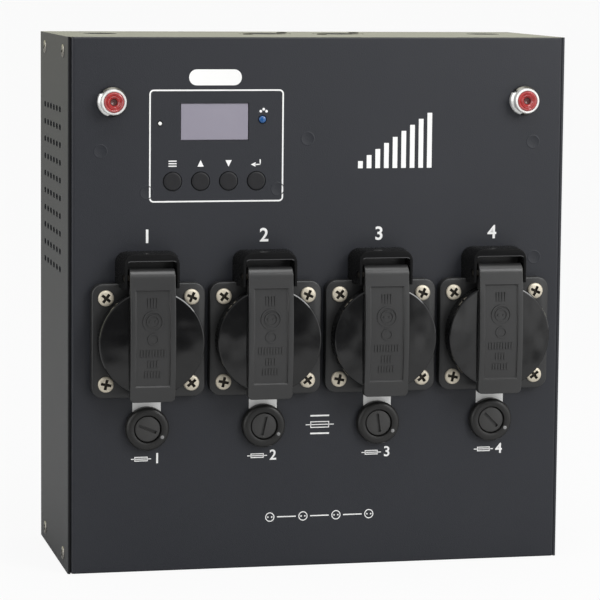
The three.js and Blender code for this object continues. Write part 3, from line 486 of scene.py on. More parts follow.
# Printed marks
# White silk-screened marks: plain channel numbers, a frame round the control panel, small signs
# for the keys, the fuses and the outputs, a blank name field and a plain rising scale.
INK, THIN_LINE, KEY_LINE = 0.00005, 0.0004, 0.0005
NUMBER_Z, NUMBER_HEIGHT, CAPITAL_SHARE, BOLD_SHARE = 0.1491, 0.0060, 0.72, 0.025
FRAME_BOX, FRAME_LINE, FRAME_CORNER = ((-0.0768, 0.1642), (-0.01675, 0.2136)), 0.00065, 0.0020
FIELD_BOX, FIELD_CORNER = ((-0.0592, 0.2154), (-0.0357, 0.2224)), 0.0034
PATCH_WIDTH, PATCH_Z = 0.0127, (0.0712, 0.0776)
SCALE_X, SCALE_Z, SCALE_BARS = (0.0172, 0.0510), (0.1785, 0.2030), 9
BAR_SHARE, FIRST_BAR_STEPS = 0.55, 1.2
KEY_SIGN_Z, KEY_SIGN_SIZE, ARROW_TIP_SHARE = 0.1812, 0.0028, 0.04
MENU_WIDTH, MENU_PITCH = 0.0036, 0.0011
ENTER_ARROW, ENTER_ARROW_SIZE = (-0.0014, -0.0006), 0.0020
ENTER_BARS = ((0.0006, -0.0006, 0.0026, KEY_LINE), (0.0017, 0.0004, KEY_LINE, 0.0025))
FUSE_SIGN_Z, FUSE_SIGN_X, FUSE_SIGN_WIDTH = 0.0506, -0.0024, 0.0060
FUSE_NUMBER_X, FUSE_NUMBER_HEIGHT = 0.0048, 0.0046
FUSE_BOX_SHARE, FUSE_WIRE_SHARE = 0.17, 1.5
NOTE_X, NOTE_Z, NOTE_WIDTH, NOTE_LINE_RISE, NOTE_LINE = 0.0009, 0.0639, 0.0086, 0.0040, 0.0007
OUTPUT_Z, OUTPUT_X, OUTPUT_RADIUS, OUTPUT_GAP = 0.0226, (-0.0292, 0.0316), 0.0021, 0.0066
OUTPUT_DOT_SHARES = (0.42, 0.17)
SIGNAL_DOT, SIGNAL_DOTS = 0.0006, ((-0.0271, 0.2040), (-0.0258, 0.2049), (-0.0245, 0.2040))


def ink_block(low, high, corner=0.0):
    """A printed block between two X and Z corners, with its own corners rounded."""
    block = slab("ink", (low[0], front_y - INK, low[1]), (high[0], front_y + INK, high[1]))
    if corner:
        round_edges(block, lambda at, along: abs(along.y) > NEARLY_ONE, corner, 6)
    return block


def ink_frame(low, high, line, corner=0.0):
    frame_block = ink_block(low, high, corner)
    inside = slab("ink_inside", (low[0] + line, front_y - SHEET, low[1] + line),
                  (high[0] - line, front_y + SHEET, high[1] - line))
    if corner > line:
        round_edges(inside, lambda at, along: abs(along.y) > NEARLY_ONE, corner - line, 6)
    combine(frame_block, inside)
    return frame_block


def ink_bar(x, z, width, height):
    """A printed bar about its middle."""
    return ink_block((x - width / 2, z - height / 2), (x + width / 2, z + height / 2))


def ink_dot(x, z, radius, sides):
    return rod("ink", (x, front_y, z), TOWARD_VIEWER, radius, 2 * INK, sides)


def ink_arrow(x, z, size, toward):
    """A printed triangle that points along X or Z."""
    arrow = ink_bar(x, z, size, size)
    ahead = Vector((toward[0], 0, toward[1]))
    tip = Vector((x, front_y, z)) + ahead * size / 2
    squeeze = (ARROW_TIP_SHARE if toward[1] else 1, 1, ARROW_TIP_SHARE if toward[0] else 1)
    edit_parts(arrow, "VERT", lambda at: (at - tip).dot(ahead) > -size / 4,
               bpy.ops.transform.resize, value=squeeze, center_override=tip)
    return arrow


def ink_number(number, x, z, height):
    bpy.ops.object.select_all(action="DESELECT")
    bpy.ops.object.text_add(location=(x, front_y, z), rotation=(math.pi / 2, 0, 0))
    text = bpy.context.object.data
    text.body = str(number)
    text.size = height / CAPITAL_SHARE
    text.offset = height * BOLD_SHARE
    text.extrude = INK
    text.resolution_u = 4
    text.align_x, text.align_y = "CENTER", "CENTER"
    bpy.ops.object.convert(target="MESH")
    return settled("ink")


def ink_fuse(x, z, width):
    """The usual sign for a fuse: a long box with a line through it."""
    half_height = width * FUSE_BOX_SHARE
    return [ink_frame((x - width / 2, z - half_height), (x + width / 2, z + half_height), THIN_LINE),
            ink_bar(x, z, width * FUSE_WIRE_SHARE, THIN_LINE)]


def ink_outlet(x, z, radius):
    """A ring with two contact dots, for an outlet."""
    ring = ink_dot(x, z, radius, 32)
    combine(ring, rod("ink_inside", (x, front_y, z), TOWARD_VIEWER, radius - THIN_LINE, 2 * SHEET))
    reach, size = (radius * share for share in OUTPUT_DOT_SHARES)
    return [ring] + [ink_dot(x + side * reach, z, size, 12) for side in (-1, 1)]


marks = [ink_frame(*FRAME_BOX, FRAME_LINE, FRAME_CORNER), ink_block(*FIELD_BOX, FIELD_CORNER)]
for number, step in zip(CHANNELS, channel_steps):
    x = (step @ outlet_middle).x
    marks.append(ink_number(number, x, NUMBER_Z, NUMBER_HEIGHT))
    marks.append(ink_block((x - PATCH_WIDTH / 2, PATCH_Z[0]), (x + PATCH_WIDTH / 2, PATCH_Z[1])))
    marks += ink_fuse(x + FUSE_SIGN_X, FUSE_SIGN_Z, FUSE_SIGN_WIDTH)
    marks.append(ink_number(number, x + FUSE_NUMBER_X, FUSE_SIGN_Z, FUSE_NUMBER_HEIGHT))
scale_pitch = (SCALE_X[1] - SCALE_X[0]) / (SCALE_BARS - 1 + BAR_SHARE)
scale_rise = (SCALE_Z[1] - SCALE_Z[0]) / (SCALE_BARS - 1 + FIRST_BAR_STEPS)
for bar in range(SCALE_BARS):
    left = SCALE_X[0] + bar * scale_pitch
    marks.append(ink_block((left, SCALE_Z[0]), (left + scale_pitch * BAR_SHARE,
                                                SCALE_Z[0] + scale_rise * (bar + FIRST_BAR_STEPS))))
menu_x, up_x, down_x, enter_x = (on_front(node).x for node in BUTTONS)
marks += [ink_bar(menu_x, KEY_SIGN_Z + line * MENU_PITCH, MENU_WIDTH, KEY_LINE) for line in (-1, 0, 1)]
marks += [ink_arrow(up_x, KEY_SIGN_Z, KEY_SIGN_SIZE, (0, 1)),
          ink_arrow(down_x, KEY_SIGN_Z, KEY_SIGN_SIZE, (0, -1)),
          ink_arrow(enter_x + ENTER_ARROW[0], KEY_SIGN_Z + ENTER_ARROW[1], ENTER_ARROW_SIZE, (-1, 0))]
marks += [ink_bar(enter_x + x, KEY_SIGN_Z + z, width, height) for x, z, width, height in ENTER_BARS]
marks += [ink_dot(x, z, SIGNAL_DOT, 16) for x, z in SIGNAL_DOTS]
marks += ink_fuse(NOTE_X, NOTE_Z, NOTE_WIDTH)
marks += [ink_bar(NOTE_X, NOTE_Z + side * NOTE_LINE_RISE, NOTE_WIDTH, NOTE_LINE) for side in (-1, 1)]
output_pitch = (OUTPUT_X[1] - OUTPUT_X[0]) / len(CHANNELS)
for number in CHANNELS:
    x = OUTPUT_X[0] + output_pitch * (number - 0.5)
    marks += ink_outlet(x, OUTPUT_Z, OUTPUT_RADIUS)
    if number < len(CHANNELS):
        marks.append(ink_bar(x + output_pitch / 2, OUTPUT_Z, output_pitch - OUTPUT_GAP, KEY_LINE))
white_ink = surface("white_screen_ink", (0.80, 0.80, 0.79), (0.88, 0.88, 0.87), (0.45, 0.6), 2200,
                    0.00002)
finish_piece(joined("front_marks", marks), white_ink, "case")

# Outlets
# Four black plastic panel outlets: a square flange, a collar round the well and a hood for the
# lid's hinge, with a painted highlight along the top of its mouth. Four pan-head screws each, plated
# contacts inside.
FLANGE_THICKNESS, FLANGE_CORNER, FLANGE_EDGE = 0.005, 0.005, 0.0006
COLLAR_PROFILE = ((0.0215, -0.0220), (0.0215, 0.0020), (0.02275, 0.0020), (0.02275, 0.0110),
                  (0.02235, 0.0115), (0.02020, 0.0115), (0.01975, 0.0111), (0.01975, -0.0060))
WELL_FLOOR, WELL_RADIUS = 0.0060, 0.01975
CONTACT_SPACING, CONTACT_RADIUS, CONTACT_DEPTH = 0.019, 0.0026, 0.012
SLEEVE_RADIUS, SLEEVE_BORE, SLEEVE_SHARES, CONTACT_EDGE = 0.0025, 0.0020, (0.92, 1.8), 0.00015
EARTH_WIDTH, EARTH_DEPTH = 0.006, 0.001
CLIP_HALF_SHARE, CLIP_DEPTH_SHARES, CLIP_INSET, CLIP_BEND = 0.42, (0.1, 0.8), 0.0005, 0.0012
HOOD_HALF_BASE, HOOD_TAPER, HOOD_EDGE = 0.0142, 24.1 / 28.4, 0.0005
HOOD_OUT, HOOD_LOW, HOOD_RISE, HOOD_CORNER = 0.014, 0.0238, 0.039, 0.005
MOUTH_HALF_WIDTH, MOUTH_RISE, MOUTH_CORNER = 0.0108, 0.0356, 0.0014
MOUTH_EDGE, EDGE_LEAN = 0.0004, -0.2
HINGE_OUT, HINGE_RISE, HINGE_LENGTH = 0.0115, 0.0283, 0.05
PIN_RADIUS, PIN_HOLE, PIN_SET_BACK = 0.0015, 0.0018, 0.0005
FLANGE_SCREW_HEAD, FLANGE_SCREW_SHANK, FLANGE_SCREW_AT = (0.0035, 0.0013), (0.0015, 0.0060), 0.019
FLANGE_SCREWS = ((-1, 1, 38), (1, 1, 24), (-1, -1, 12), (1, -1, 52))


def at_outlet(x, out, z):
    """A place on the first outlet, from its middle: across, out of the cover, and up."""
    return Vector((outlet_middle.x + x, front_y - out, outlet_middle.z + z))


def outlet_slab(name, x, out, z):
    """A block on the first outlet, from its ranges across, out of the cover, and up."""
    return slab(name, at_outlet(x[0], out[1], z[0]), at_outlet(x[1], out[0], z[1]))


def hinge_rod(name, radius, length, sides=32):
    return rod(name, at_outlet(0, HINGE_OUT, HINGE_RISE), (1, 0, 0), radius, length, sides)


def finish_channels(piece, name, material, body, *nodes, slot=None, places=None):
    """Copies a piece to every channel and finishes each copy. A # stands for the channel's number."""
    names = [name.replace("#", str(number)) for number in CHANNELS]
    for number, copy in zip(CHANNELS, repeat(piece, names, places or channel_steps)):
        body_and_nodes = [text.replace("#", str(number)) for text in (body, *nodes)]
        finish_piece(copy, material, *body_and_nodes, slot=slot)


flange_half = (outlet_high.x - outlet_low.x) / 2
flange_range = (-flange_half, flange_half)
outlet = outlet_slab("outlet", flange_range, (SEAT_GAP, FLANGE_THICKNESS), flange_range)
round_edges(outlet, lambda at, along: abs(along.y) > NEARLY_ONE, FLANGE_CORNER, 8)
flange_y = front_y - FLANGE_THICKNESS
round_edges(outlet, lambda at, along: at.y < flange_y + INK, FLANGE_EDGE, 3)
combine(outlet, turned("collar", outlet_middle, TOWARD_VIEWER, COLLAR_PROFILE, 64), "UNION")

hood = outlet_slab("hood", (-HOOD_HALF_BASE, HOOD_HALF_BASE), (SEAT_GAP, HOOD_OUT), (HOOD_LOW, HOOD_RISE))
hood_top, hood_front = outlet_middle.z + HOOD_RISE, front_y - HOOD_OUT
mouth_top = outlet_middle.z + MOUTH_RISE
round_edges(hood, lambda at, along: abs(along.y) > NEARLY_ONE and at.z > hood_top - INK, HOOD_CORNER, 8)
edit_parts(hood, "VERT", lambda at: at.y < hood_front + INK, bpy.ops.transform.resize,
           value=(HOOD_TAPER, 1, 1), center_override=outlet_middle)
round_edges(hood, lambda at, along: at.y < hood_front + INK, HOOD_EDGE, 3)
mouth = outlet_slab("mouth", (-MOUTH_HALF_WIDTH, MOUTH_HALF_WIDTH),
                    (FLANGE_THICKNESS, HOOD_OUT + CUT_THROUGH), (HOOD_LOW - CUT_THROUGH, MOUTH_RISE))
round_edges(mouth, lambda at, along: abs(along.y) > NEARLY_ONE
            and at.z > outlet_middle.z + HINGE_RISE, MOUTH_CORNER, 4)
combine(hood, mouth)
round_edges(hood, lambda at, along: at.y < hood_front + INK and at.z < mouth_top + INK
            and abs(at.x - outlet_middle.x) < MOUTH_HALF_WIDTH + INK, MOUTH_EDGE, 3)
combine(outlet, hood, "UNION")
outlet_cuts = [hinge_rod("hinge_hole", PIN_HOLE, HINGE_LENGTH)]
contacts = []
for side in (-1, 1):
    contact_place = at_outlet(side * CONTACT_SPACING / 2, -WELL_FLOOR, 0)
    outlet_cuts.append(rod("contact_hole", contact_place, TOWARD_VIEWER, CONTACT_RADIUS,
                           2 * CONTACT_DEPTH))
    outlet_cuts.append(outlet_slab(
        "earth_slot", (-EARTH_WIDTH / 2, EARTH_WIDTH / 2), (-WELL_FLOOR, FLANGE_THICKNESS),
        sorted((side * (WELL_RADIUS - CUT_THROUGH), side * (WELL_RADIUS + EARTH_DEPTH)))))
    sleeve_length, bore_length = (CONTACT_DEPTH * share for share in SLEEVE_SHARES)
    sleeve = rod("sleeve", contact_place - TOWARD_VIEWER * CONTACT_DEPTH / 2, TOWARD_VIEWER,
                 SLEEVE_RADIUS, sleeve_length)
    combine(sleeve, rod("sleeve_bore", contact_place, TOWARD_VIEWER, SLEEVE_BORE, bore_length))
    clip = outlet_slab(
        "earth_clip", (-EARTH_WIDTH * CLIP_HALF_SHARE, EARTH_WIDTH * CLIP_HALF_SHARE),
        (-WELL_FLOOR + CLIP_INSET, FLANGE_THICKNESS - CLIP_INSET),
        sorted(side * (WELL_RADIUS + EARTH_DEPTH * share) for share in CLIP_DEPTH_SHARES))
    edit_parts(clip, "VERT", lambda at: at.y < flange_y + CLIP_INSET + INK,
               bpy.ops.transform.translate, value=(0, 0, -side * CLIP_BEND))
    contacts += [sleeve, clip]
combine(outlet, joined("outlet_cuts", outlet_cuts))
smooth(outlet)
outlet_plastic = surface("outlet_black_plastic", (0.0135, 0.0138, 0.0142), (0.0175, 0.0178, 0.0182),
                         (0.32, 0.44), 3200, 0.00006)
hood_plastic = surface("hood_black_plastic", (0.0086, 0.0087, 0.0090), (0.0110, 0.0111, 0.0114),
                       (0.22, 0.32), 1200, 0.00003, specular=0.03)
painted_highlight_hood_edge = surface("painted_highlight_on_hood_mouth", (0.060, 0.060, 0.062), (0.080, 0.080, 0.082),
                    (0.20, 0.30), 1200, 0.00003)
coat(outlet, outlet_plastic, hood_plastic, painted_highlight_hood_edge)
give_faces(outlet, 1, lambda at, normal: at.y < flange_y - INK)
# Painted highlight: the rounded top edge of the hood's mouth gets a lighter plastic.
give_faces(outlet, 2, lambda at, normal: at.y < hood_front + MOUTH_EDGE
           and abs(at.z - mouth_top) < MOUTH_EDGE and normal.y < EDGE_LEAN and normal.z < EDGE_LEAN)
finish_channels(outlet, "outlet_shell_#", None, "case", "outlet_#", slot="outlet_plastic")

contacts = joined("contacts", contacts)
add_modifier(contacts, "BEVEL", width=CONTACT_EDGE, segments=2, limit_method="ANGLE")
smooth(contacts)
finish_channels(contacts, "outlet_contacts_#", nickel_plate, "case", slot="bright_steel")

flange_screw = pan_screw("flange_screw", FLANGE_SCREW_HEAD, FLANGE_SCREW_SHANK)
flange_screw_places = [
    Matrix.Translation(at_outlet(x * FLANGE_SCREW_AT, FLANGE_THICKNESS, z * FLANGE_SCREW_AT))
    @ Matrix.Rotation(math.radians(turn), 4, "Y") for x, z, turn in FLANGE_SCREWS]
outlet_screws = joined("outlet_screws", repeat(
    flange_screw, ["screw"] * len(FLANGE_SCREWS), flange_screw_places))
finish_channels(outlet_screws, "outlet_screws_#", None, "case", slot="bright_steel")

# Lids
# Each lid is a glossy black disc with a matt strap moulded over it, which bows forward and ends in
# the hinge knuckle. A steel pin and a coil spring close it on a thin rubber ring.
LID_PROFILE = ((0.0226, 0.01180), (0.0231, 0.01190), (0.0233, 0.01225), (0.0233, 0.01365),
               (0.0231, 0.01410), (0.0226, 0.01430), (0.0003, 0.01436))
STRAP_HALF_WIDTH, STRAP_OUT, STRAP_BELOW, STRAP_BOW = 0.010, 0.0157, 0.0258, 0.0018
STRAP_END_CORNER, STRAP_EDGE, BOW_STEPS = 0.0020, 0.0004, 10
STILL_FLAT, STRAP_CREASE = math.radians(0.5), math.radians(50)
RECESS_HALF_WIDTH, RECESS_ABOVE, RECESS_BELOW, RECESS_DEPTH = 0.0075, 0.0232, 0.0188, 0.0010
RECESS_REACH, SINK_WAVES, SINK_DEPTH, SINK_CLOUDS, FINE_HAZE = 0.025, 16, 0.0014, 30, 500
KNUCKLE_RADIUS, POCKET_HALF, POCKET_RADIUS, POCKET_OUT = 0.0042, 0.0052, 0.0033, 0.005
EMBOSS_RISE, SIGN_DEPTH = 0.0004, 0.0006
SIGN_RINGS = ((0.0098, 0.0046, 0.0040), (0.0098, 0.0029, 0.0024), (0.0020, 0.0025, 0.0020))
SIGN_DOT_AT, SIGN_DOT = (0.0012, 0.0098), 0.0005
SIGN_RIBS = ((0.0178, 4, 0.0042), (-0.0041, 9, 0.0030), (-0.0089, 4, 0.0030), (-0.0134, 6, 0.0028))
RIB_PITCH, RIB_HALF = 0.0013, 0.0004
GASKET_RADII, GASKET_OUT, GASKET_EDGE = (0.0221, 0.0203), (0.01156, 0.0120), 0.00012
PLUG_RADII, PLUG_OUT = (0.0190, 0.0178), (0.0103, 0.0122)
PIN_CHAMFER, PIN_TIP_SHARE = 0.0003, 0.8


def bow_out(z):
    """How far the strap bows forward at a height from the outlet's middle."""
    share = (HINGE_RISE - z) / (HINGE_RISE + STRAP_BELOW)
    return STRAP_BOW * 4 * share * (1 - share)


def bowed(piece, face_out):
    """Bows the face that lies at one distance out of the cover, in short steps."""
    for step in range(1, BOW_STEPS):
        height = -STRAP_BELOW + (HINGE_RISE + STRAP_BELOW) * step / BOW_STEPS
        edit_parts(piece, "FACE", lambda at, normal: True, bpy.ops.mesh.bisect,
                   plane_co=at_outlet(0, 0, height), plane_no=(0, 0, 1))
    face_y = front_y - face_out
    heights = sorted({round(v.co.z, 7) for v in piece.data.vertices if abs(v.co.y - face_y) < INK})
    for height in heights:
        edit_parts(piece, "VERT", lambda at: abs(at.y - face_y) < INK and abs(at.z - height) < INK / 10,
                   bpy.ops.transform.translate, value=(0, -bow_out(height - outlet_middle.z), 0))
    return piece


def ring_of(name, middle, length, outer, inner, sides, bore_length):
    """A ring that faces the viewer, from its outer and inner radius."""
    ring = rod(name, middle, TOWARD_VIEWER, outer, length, sides)
    combine(ring, rod("ring_bore", middle, TOWARD_VIEWER, inner, bore_length, sides))
    return ring


def lid_ring(name, out, radii):
    length = out[1] - out[0]
    return ring_of(name, at_outlet(0, (out[0] + out[1]) / 2, 0), length, *radii, 64, 2 * length)


def sign_out(z):
    """How far out the middle of a raised sign lies at a height on the strap."""
    return STRAP_OUT - RECESS_DEPTH + bow_out(z) + EMBOSS_RISE - SIGN_DEPTH / 2


def keep_node(node, material):
    """Gives a node that keeps its own shape the finish of the real thing."""
    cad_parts[node].material_slots[0].material = material


gloss_plastic = surface("lid_gloss_plastic", (0.0026, 0.0027, 0.0030), (0.0040, 0.0041, 0.0044),
                        (0.07, 0.13), SINK_WAVES, SINK_DEPTH, SINK_CLOUDS, strength=1, haze=FINE_HAZE)
strap_plastic = surface("lid_strap_plastic", (0.0210, 0.0212, 0.0214), (0.0280, 0.0282, 0.0285),
                        (0.26, 0.36), 2800, 0.00004)
rubber = surface("black_rubber", (0.016, 0.016, 0.016), (0.022, 0.022, 0.022), (0.65, 0.85), 1800,
                 0.0001)

disc = turned("lid_disc", outlet_middle, TOWARD_VIEWER, LID_PROFILE, 96)
disc = joined("lid_disc", [disc, lid_ring("lid_plug", PLUG_OUT, PLUG_RADII)])
smooth(disc, 15)
coat(disc, gloss_plastic)

strap = outlet_slab("strap", (-STRAP_HALF_WIDTH, STRAP_HALF_WIDTH), (LID_PROFILE[0][1], STRAP_OUT),
                    (-STRAP_BELOW, HINGE_RISE))
round_edges(strap, lambda at, along: abs(along.y) > NEARLY_ONE and at.z < outlet_middle.z,
            STRAP_END_CORNER, 5)
bowed(strap, STRAP_OUT)
recess_out = STRAP_OUT - RECESS_DEPTH
combine(strap, bowed(outlet_slab("recess", (-RECESS_HALF_WIDTH, RECESS_HALF_WIDTH),
                                 (recess_out, RECESS_REACH), (-RECESS_BELOW, RECESS_ABOVE)), recess_out))
combine(strap, turned("knuckle", at_outlet(-STRAP_HALF_WIDTH, HINGE_OUT, HINGE_RISE), (1, 0, 0),
                      [(KNUCKLE_RADIUS, 0), (KNUCKLE_RADIUS, 2 * STRAP_HALF_WIDTH)], 40), "UNION")
combine(strap, hinge_rod("pocket", POCKET_RADIUS, 2 * POCKET_HALF))
combine(strap, outlet_slab("pocket_back", (-POCKET_HALF, POCKET_HALF), (POCKET_OUT, HINGE_OUT),
                           (HINGE_RISE - POCKET_RADIUS, HINGE_RISE + POCKET_RADIUS)))
combine(strap, hinge_rod("pin_bore", PIN_HOLE, HINGE_LENGTH, 24))
edit_parts(strap, "VERT", lambda at: True, bpy.ops.mesh.remove_doubles, threshold=INK / 2)
edit_parts(strap, "VERT", lambda at: True, bpy.ops.mesh.dissolve_limited, angle_limit=STILL_FLAT)
add_modifier(strap, "BEVEL", width=STRAP_EDGE, segments=3, limit_method="ANGLE",
             angle_limit=STRAP_CREASE, use_clamp_overlap=False)

signs = [ring_of("sign_ring", at_outlet(0, sign_out(z), z), SIGN_DEPTH, outer, inner, 32, CUT_THROUGH)
         for z, outer, inner in SIGN_RINGS]
for side in (-1, 1):
    signs.append(rod("sign_dot", at_outlet(side * SIGN_DOT_AT[0], sign_out(SIGN_DOT_AT[1]),
                                           SIGN_DOT_AT[1]), TOWARD_VIEWER, SIGN_DOT, SIGN_DEPTH, 12))
for z, ribs, height in SIGN_RIBS:
    out = sign_out(z)
    for rib in range(ribs):
        x = (rib - (ribs - 1) / 2) * RIB_PITCH
        signs.append(outlet_slab("sign_rib", (x - RIB_HALF, x + RIB_HALF),
                                 (out - SIGN_DEPTH / 2, out + SIGN_DEPTH / 2),
                                 (z - height / 2, z + height / 2)))
strap = joined("lid_strap", [strap, *signs])
smooth_flats(strap)
coat(strap, strap_plastic)
finish_channels(joined("lid", [disc, strap]), "lid_shell_#", None, "lid_#", "outlet_lid_#",
                slot="lid_plastic")
gasket = lid_ring("gasket", GASKET_OUT, GASKET_RADII)
add_modifier(gasket, "BEVEL", width=GASKET_EDGE, segments=2, limit_method="ANGLE")
smooth(gasket)
finish_channels(gasket, "lid_gasket_#", rubber, "lid_#")
pin_low, pin_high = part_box("lid_pin_1")
pin_half = (pin_high.x - pin_low.x) / 2 - PIN_SET_BACK
pin = turned("pin", at_outlet(-pin_half, HINGE_OUT, HINGE_RISE), (1, 0, 0),
             [(PIN_RADIUS * PIN_TIP_SHARE, 0), (PIN_RADIUS, PIN_CHAMFER),
              (PIN_RADIUS, 2 * pin_half - PIN_CHAMFER), (PIN_RADIUS * PIN_TIP_SHARE, 2 * pin_half)], 24)
smooth(pin, 50)
finish_channels(pin, "lid_hinge_pin_#", dark_steel_and_recess_shade, "case", "lid_pin_#", slot="bright_steel")
for number in CHANNELS:
    keep_node(f"lid_spring_{number}", nickel_plate)

# Fuse holders
# Round panel-mounted holders in black plastic. The cap sits a little below the ring, turns with a
# screwdriver and comes out with its glass fuse, 5 by 20 mm, held in the skirt of the cap.
HOLDER_PROFILE = ((0.0076, -0.0255), (0.0076, -0.00005), (0.0097, -0.00005), (0.0097, 0.0024),
                  (0.0095, 0.0031), (0.0090, 0.0037), (0.0083, 0.0040), (0.0070, 0.0040),
                  (0.00625, 0.0038), (0.00605, 0.0034), (0.00605, -0.0235))
CAP_PROFILE = ((0.00285, -0.0030), (0.00285, -0.0099), (0.00575, -0.0099), (0.00575, 0.0026),
               (0.0055, 0.0030), (0.0051, 0.0031), (0.0002, 0.0031))
CAP_SLOT, SLOT_REACH, CAP_TURNS = (0.0084, 0.0013, 0.0011), 0.01, (-22, 77, 98, -45)
NIB_PLACE = Vector((0.0064, 0, -0.0036))
NIB_PROFILE = ((0.0008, 0.0030), (0.0008, 0.0041), (0.0004, 0.0043))
WING_X, WING_LOW, WING_HIGH = 0.0081, (-0.0009, 0.00125, -0.0025), (0.0009, 0.00625, 0.0025)
FUSE_GLASS, FUSE_WIRE = ((0.0022, 0), (0.0022, 0.0185)), ((0.00015, 0), (0.00015, 0.018))
FUSE_END = ((0.00235, 0), (0.00255, 0.0002), (0.00255, 0.0048), (0.0024, 0.0050))
FUSE_FRONT, FUSE_LENGTH, GLASS_INSET, WIRE_INSET = 0.0032, 0.020, 0.0007, 0.001
GLASS_TINT, GLASS_INDEX, GLASS_ROUGH, GLASS_GRAIN = (0.95, 0.97, 0.97, 1), 1.5, (0.01, 0.06), (400, 120)

fuse_middle = on_front("fuse_holder_1")
fuse_front = fuse_middle - TOWARD_VIEWER * FUSE_FRONT
fuse_back = fuse_front - TOWARD_VIEWER * FUSE_LENGTH
holder_parts = [turned("holder", fuse_middle, TOWARD_VIEWER, HOLDER_PROFILE, 64)]
for side in (-1, 1):
    wing_middle = fuse_middle + Vector((side * WING_X, 0, 0))
    holder_parts.append(slab("wing", wing_middle + Vector(WING_LOW), wing_middle + Vector(WING_HIGH)))
holder = joined("holder", holder_parts)
nib = turned("nib", fuse_middle + NIB_PLACE, TOWARD_VIEWER, NIB_PROFILE, 16)
cap = turned("cap", fuse_middle, TOWARD_VIEWER, CAP_PROFILE, 48)
combine(cap, slab("cap_slot", fuse_middle + Vector((-CAP_SLOT[0] / 2, -SLOT_REACH, -CAP_SLOT[1] / 2)),
                  fuse_middle + Vector((CAP_SLOT[0] / 2, CAP_SLOT[2] - CAP_PROFILE[-1][1],
                                        CAP_SLOT[1] / 2))))
fuse_tube = turned("fuse_tube", fuse_back + TOWARD_VIEWER * GLASS_INSET, TOWARD_VIEWER, FUSE_GLASS, 32)
fuse_ends = joined("fuse_ends", [
    turned("fuse_end", fuse_front, -TOWARD_VIEWER, FUSE_END, 32),
    turned("fuse_end", fuse_back, TOWARD_VIEWER, FUSE_END, 32),
    turned("fuse_wire", fuse_back + TOWARD_VIEWER * WIRE_INSET, TOWARD_VIEWER, FUSE_WIRE, 8)])
for piece in (holder, nib, cap, fuse_ends, fuse_tube):
    smooth(piece)

fuse_plastic = surface("fuse_holder_plastic", (0.0125, 0.0123, 0.0119), (0.0165, 0.0162, 0.0157),
                       (0.34, 0.46), 3000, 0.00006, specular=0.36)
cap_plastic = surface("fuse_cap_plastic", (0.0270, 0.0266, 0.0258), (0.0330, 0.0326, 0.0316),
                      (0.40, 0.52), 2600, 0.0001)
index_paint_and_painted_highlight = surface("index_nib_paint_and_painted_highlight", (0.20, 0.20, 0.20), (0.28, 0.28, 0.28), (0.4, 0.5), 2200,
                      0.00003)
glass, glass_tree, glass_shader = new_material("fuse_clear_glass")
for socket, value in (("Base Color", GLASS_TINT), ("Transmission Weight", 1), ("IOR", GLASS_INDEX)):
    glass_shader.inputs[socket].default_value = value
add_range(glass_tree, add_grain(glass_tree, *GLASS_GRAIN)["Clouds"],
          glass_shader.inputs["Roughness"], *GLASS_ROUGH)

coat(holder, fuse_plastic)
# The index nib at the lower right of each ring is painted light grey, partly as a painted highlight.
coat(nib, index_paint_and_painted_highlight)
finish_channels(joined("holder", [holder, nib]), "holder_shell_#", None, "case", "fuse_holder_#",
                slot="fuse_plastic")
cap_places = [step @ Matrix.Translation(fuse_middle) @ Matrix.Rotation(math.radians(-turn), 4, "Y")
              @ Matrix.Translation(-fuse_middle) for step, turn in zip(channel_steps, CAP_TURNS)]
finish_channels(cap, "cap_shell_#", cap_plastic, "fuse_turn_#", "fuse_cap_#", slot="cap_plastic",
                places=cap_places)
finish_channels(fuse_tube, "fuse_tube_#", glass, "fuse_slide_#", "fuse_#", slot="fuse_glass")
finish_channels(fuse_ends, "fuse_ends_#", nickel_plate, "fuse_slide_#", slot="bright_steel")

# Pilot lamps
# Two red mains lamps in stepped bezels: a satin ring on a notched chrome foot, painted dark as
# painted shade but for a painted reflection in satin on its left. The lens is ringed inside and
# darker brown in its middle, where it dips to a small cup.
BEZEL_PROFILE = ((0.0050, -0.0220), (0.0050, -0.00005), (0.0065, -0.00005), (0.0065, 0.0016),
                 (0.0064, 0.0021), (0.0060, 0.0025), (0.0056, 0.0028), (0.0056, 0.0057),
                 (0.0055, 0.0060), (0.0052, 0.0063), (0.0047, 0.0063), (0.0045, 0.0060),
                 (0.0045, 0.0016))
LENS_PROFILE = ((0.0044, 0.0019), (0.0044, 0.0060), (0.0042, 0.0064), (0.0038, 0.0066),
                (0.0033, 0.0063), (0.0030, 0.0067), (0.0027, 0.0064), (0.0024, 0.0066),
                (0.0020, 0.0062), (0.0016, 0.0058), (0.0012, 0.0050), (0.0002, 0.0046))
NOTCH_COUNT, NOTCH_RADIUS, NOTCH_CIRCLE, NOTCH_TURN = 3, 0.0009, 0.0066, math.radians(139)
NOTCH_OUT, NOTCH_LENGTH, LENS_CORE_RADIUS, PAINTED_REFLECTION_SHARE = 0.001, 0.004, 0.0014, 0.5

bezel_chrome = metal("bright_chrome", (0.88, 0.88, 0.86), (0.07, 0.13), 300)
satin_ring_and_painted_reflection = metal("satin_ring_and_painted_foot_reflection", (0.95, 0.95, 0.93), (0.25, 0.35), 300, metallic=0.3)
painted_shade_foot = metal("painted_shade_bezel_foot", (0.115, 0.111, 0.097), (0.22, 0.34), 300)
red_lens = surface("ringed_red_lens", (0.30, 0.026, 0.028), (0.46, 0.052, 0.050), (0.12, 0.25), 700,
                   clouds=350, stops=WIDE_STOPS, coat_weight=0.6)
lens_core = surface("brown_lens_core", (0.090, 0.022, 0.022), (0.150, 0.050, 0.044), 0.25, 900,
                    clouds=600, stops=WIDE_STOPS)

